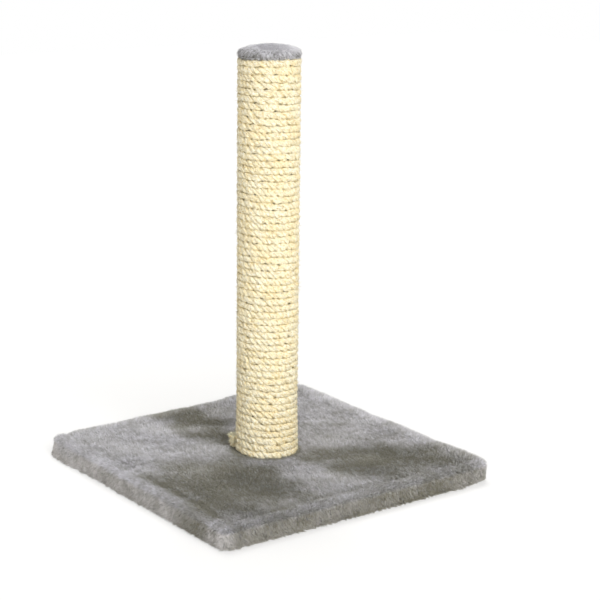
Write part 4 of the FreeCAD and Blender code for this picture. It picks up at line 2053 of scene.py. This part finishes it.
@dataclass
class Hardware:
    """The board, the tube, the plugs and the fasteners, which keep their solids and get their finishes."""

    chipboard: ChipboardFinish
    plug_wood: TurnedWoodFinish
    tube_card: CardFinish
    zinc_steel: PlatedFinish
    staple_wire: PlatedFinish

    def dress(self) -> None:
        """Put each kept solid's finish on it."""
        wearing = {
            "base_board": self.chipboard,
            "post_tube": self.tube_card,
            "bottom_plug": self.plug_wood,
            "top_plug": self.plug_wood,
            "post_bolt": self.zinc_steel,
            "bolt_washer": self.zinc_steel,
            "tee_nut": self.zinc_steel,
            "base_staples": self.staple_wire,
            "bottom_plug_staples": self.staple_wire,
            "top_plug_staples": self.staple_wire,
        }
        for node, finish in wearing.items():
            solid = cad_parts[node]
            solid.data.materials.clear()
            solid.data.materials.append(finish.material())
            LOG.info("%s: dressed in %s", node, finish.name)


# The studio

@dataclass(frozen=True)
class Lamp:
    """A soft lamp, far enough away to light the whole floor alike.

    Attributes:
        name: the lamp's name.
        strength: how much light it gives.
        heading_deg: side that it stands on, as a camera's azimuth.
        height_deg: how high it stands.
        softness_deg: how wide it looks.
    """

    name: str
    strength: float
    heading_deg: float
    height_deg: float
    softness_deg: float


@dataclass
class Studio:
    """A white floor, soft light and the camera at the photograph's angle."""

    floor_finish: FloorFinish
    floor_half: float = 6.0
    key: Lamp = Lamp("key", strength=2.5, heading_deg=-17.0, height_deg=32.0, softness_deg=50.0)
    top: Lamp = Lamp("top", strength=1.2, heading_deg=146.0, height_deg=58.0, softness_deg=28.0)
    lamp_height: float = 3.0
    world_level: float = 0.36
    world_tint: Colour = (1.0, 0.975, 0.92)
    azimuth_deg: float = -36.79
    elevation_deg: float = 13.87
    roll_deg: float = 0.69
    aim_right: float = 0.04983
    aim_up: float = 0.24863
    distance: float = 2.41469
    farthest: float = 100.0
    focal_px: float = 1624.73
    image_px: float = 600.0
    sensor_mm: float = 36.0

    def axes(self, azimuth_deg: float, elevation_deg: float) -> tuple[Vector, Vector, Vector]:
        """Work out the right, up and back directions of a view.

        Args:
            azimuth_deg: 0 looks along +Y, and it grows as the eye goes to +X.
            elevation_deg: height of the eye above the level.

        Returns:
            Right, up and back unit vectors.
        """
        turn, tilt = math.radians(azimuth_deg), math.radians(elevation_deg)
        back = Vector((math.sin(turn) * math.cos(tilt), -math.cos(turn) * math.cos(tilt), math.sin(tilt)))
        right = Vector((math.cos(turn), math.sin(turn), 0.0))
        return right, back.cross(right), back

    def stand(self, thing: Piece, right: Vector, up: Vector, back: Vector, eye: Vector) -> None:
        """Turn and place a camera or a lamp.

        Args:
            thing: the object.
            right: its right direction.
            up: its up direction.
            back: direction away from what it looks at.
            eye: where it stands.
        """
        bpy.context.scene.collection.objects.link(thing)
        turned = Matrix((right, up, back)).transposed().to_4x4()
        thing.matrix_world = Matrix.Translation(eye) @ turned

    def camera(self) -> None:
        """Stand the camera where the photograph was taken from."""
        lens = bpy.data.cameras.new("camera")
        lens.sensor_width = self.sensor_mm
        lens.lens = self.focal_px / self.image_px * self.sensor_mm
        lens.clip_end = self.farthest
        right, up, back = self.axes(self.azimuth_deg, self.elevation_deg)
        roll = math.radians(self.roll_deg)
        rolled_right = right * math.cos(roll) + up * math.sin(roll)
        rolled_up = up * math.cos(roll) - right * math.sin(roll)
        eye = back * self.distance + rolled_right * self.aim_right + rolled_up * self.aim_up
        seer = bpy.data.objects.new("camera", lens)
        self.stand(seer, rolled_right, rolled_up, back, eye)
        bpy.context.scene.camera = seer

    def hang(self, lamp: Lamp) -> None:
        """Hang one lamp.

        Args:
            lamp: which one.
        """
        light = bpy.data.lights.new(lamp.name, "SUN")
        light.energy = lamp.strength
        light.angle = math.radians(lamp.softness_deg)
        hung = bpy.data.objects.new(lamp.name, light)
        ways = self.axes(lamp.heading_deg, lamp.height_deg)
        self.stand(hung, *ways, Vector((0.0, 0.0, self.lamp_height)))

    def lights(self) -> None:
        """Light the object softly from the front and from high behind, in a pale world."""
        self.hang(self.key)
        self.hang(self.top)
        world = bpy.data.worlds.new("pale_room")
        world.use_nodes = True
        bpy.context.scene.world = world
        tree = world.node_tree
        glow = tree.nodes["Background"]
        glow.inputs["Color"].default_value = (*self.world_tint, 1.0)
        glow.inputs["Strength"].default_value = self.world_level
        shown = tree.nodes.new("ShaderNodeBackground")
        shown.inputs["Color"].default_value = (*WHITE, 1.0)
        mixed = tree.nodes.new("ShaderNodeMixShader")
        tree.links.new(seen_rays(tree), mixed.inputs["Fac"])
        tree.links.new(glow.outputs["Background"], mixed.inputs[1])
        tree.links.new(shown.outputs["Background"], mixed.inputs[2])
        tree.links.new(mixed.outputs["Shader"], tree.nodes["World Output"].inputs["Surface"])

    def floor(self) -> None:
        """Lay the floor that the object stands on."""
        half = self.floor_half
        corners = np.array([(-half, -half, 0.0), (half, -half, 0.0), (half, half, 0.0), (-half, half, 0.0)])
        plane = mesh_piece("floor", corners, [np.array([[0, 1, 2, 3]])])
        plane.data.materials.append(self.floor_finish.material())

    def build(self) -> None:
        """Set up the floor, the light, the camera and plain colours."""
        self.floor()
        self.lights()
        self.camera()
        bpy.context.scene.view_settings.view_transform = "Standard"


def main() -> None:
    """Build the cat scratcher's pieces in order and stand it in the studio."""
    logging.basicConfig(level=logging.INFO, format="%(name)s: %(message)s")
    backing = BackingFinish("plush_backing_painted_shade")
    pile = FibreFinish("plush_pile")
    fibre = FibreFinish("sisal_fibre", roughness=0.7, sheen=0.1, mottle=0.2)
    winding = SisalWinding(StrandFinish("sisal_strand"), fibre)
    PlushBase(backing, pile).build()
    winding.build()
    PlushCap(backing, pile).build(winding)
    Hardware(
        chipboard=ChipboardFinish("raw_chipboard"),
        plug_wood=TurnedWoodFinish("raw_turned_wood"),
        tube_card=CardFinish("spiral_card"),
        zinc_steel=PlatedFinish("bright_zinc"),
        staple_wire=PlatedFinish("galvanised_wire", bright=(0.62, 0.62, 0.61), dull=(0.4, 0.4, 0.39)),
    ).dress()
    Studio(FloorFinish("studio_floor")).build()


if __name__ == "__main__":
    main()
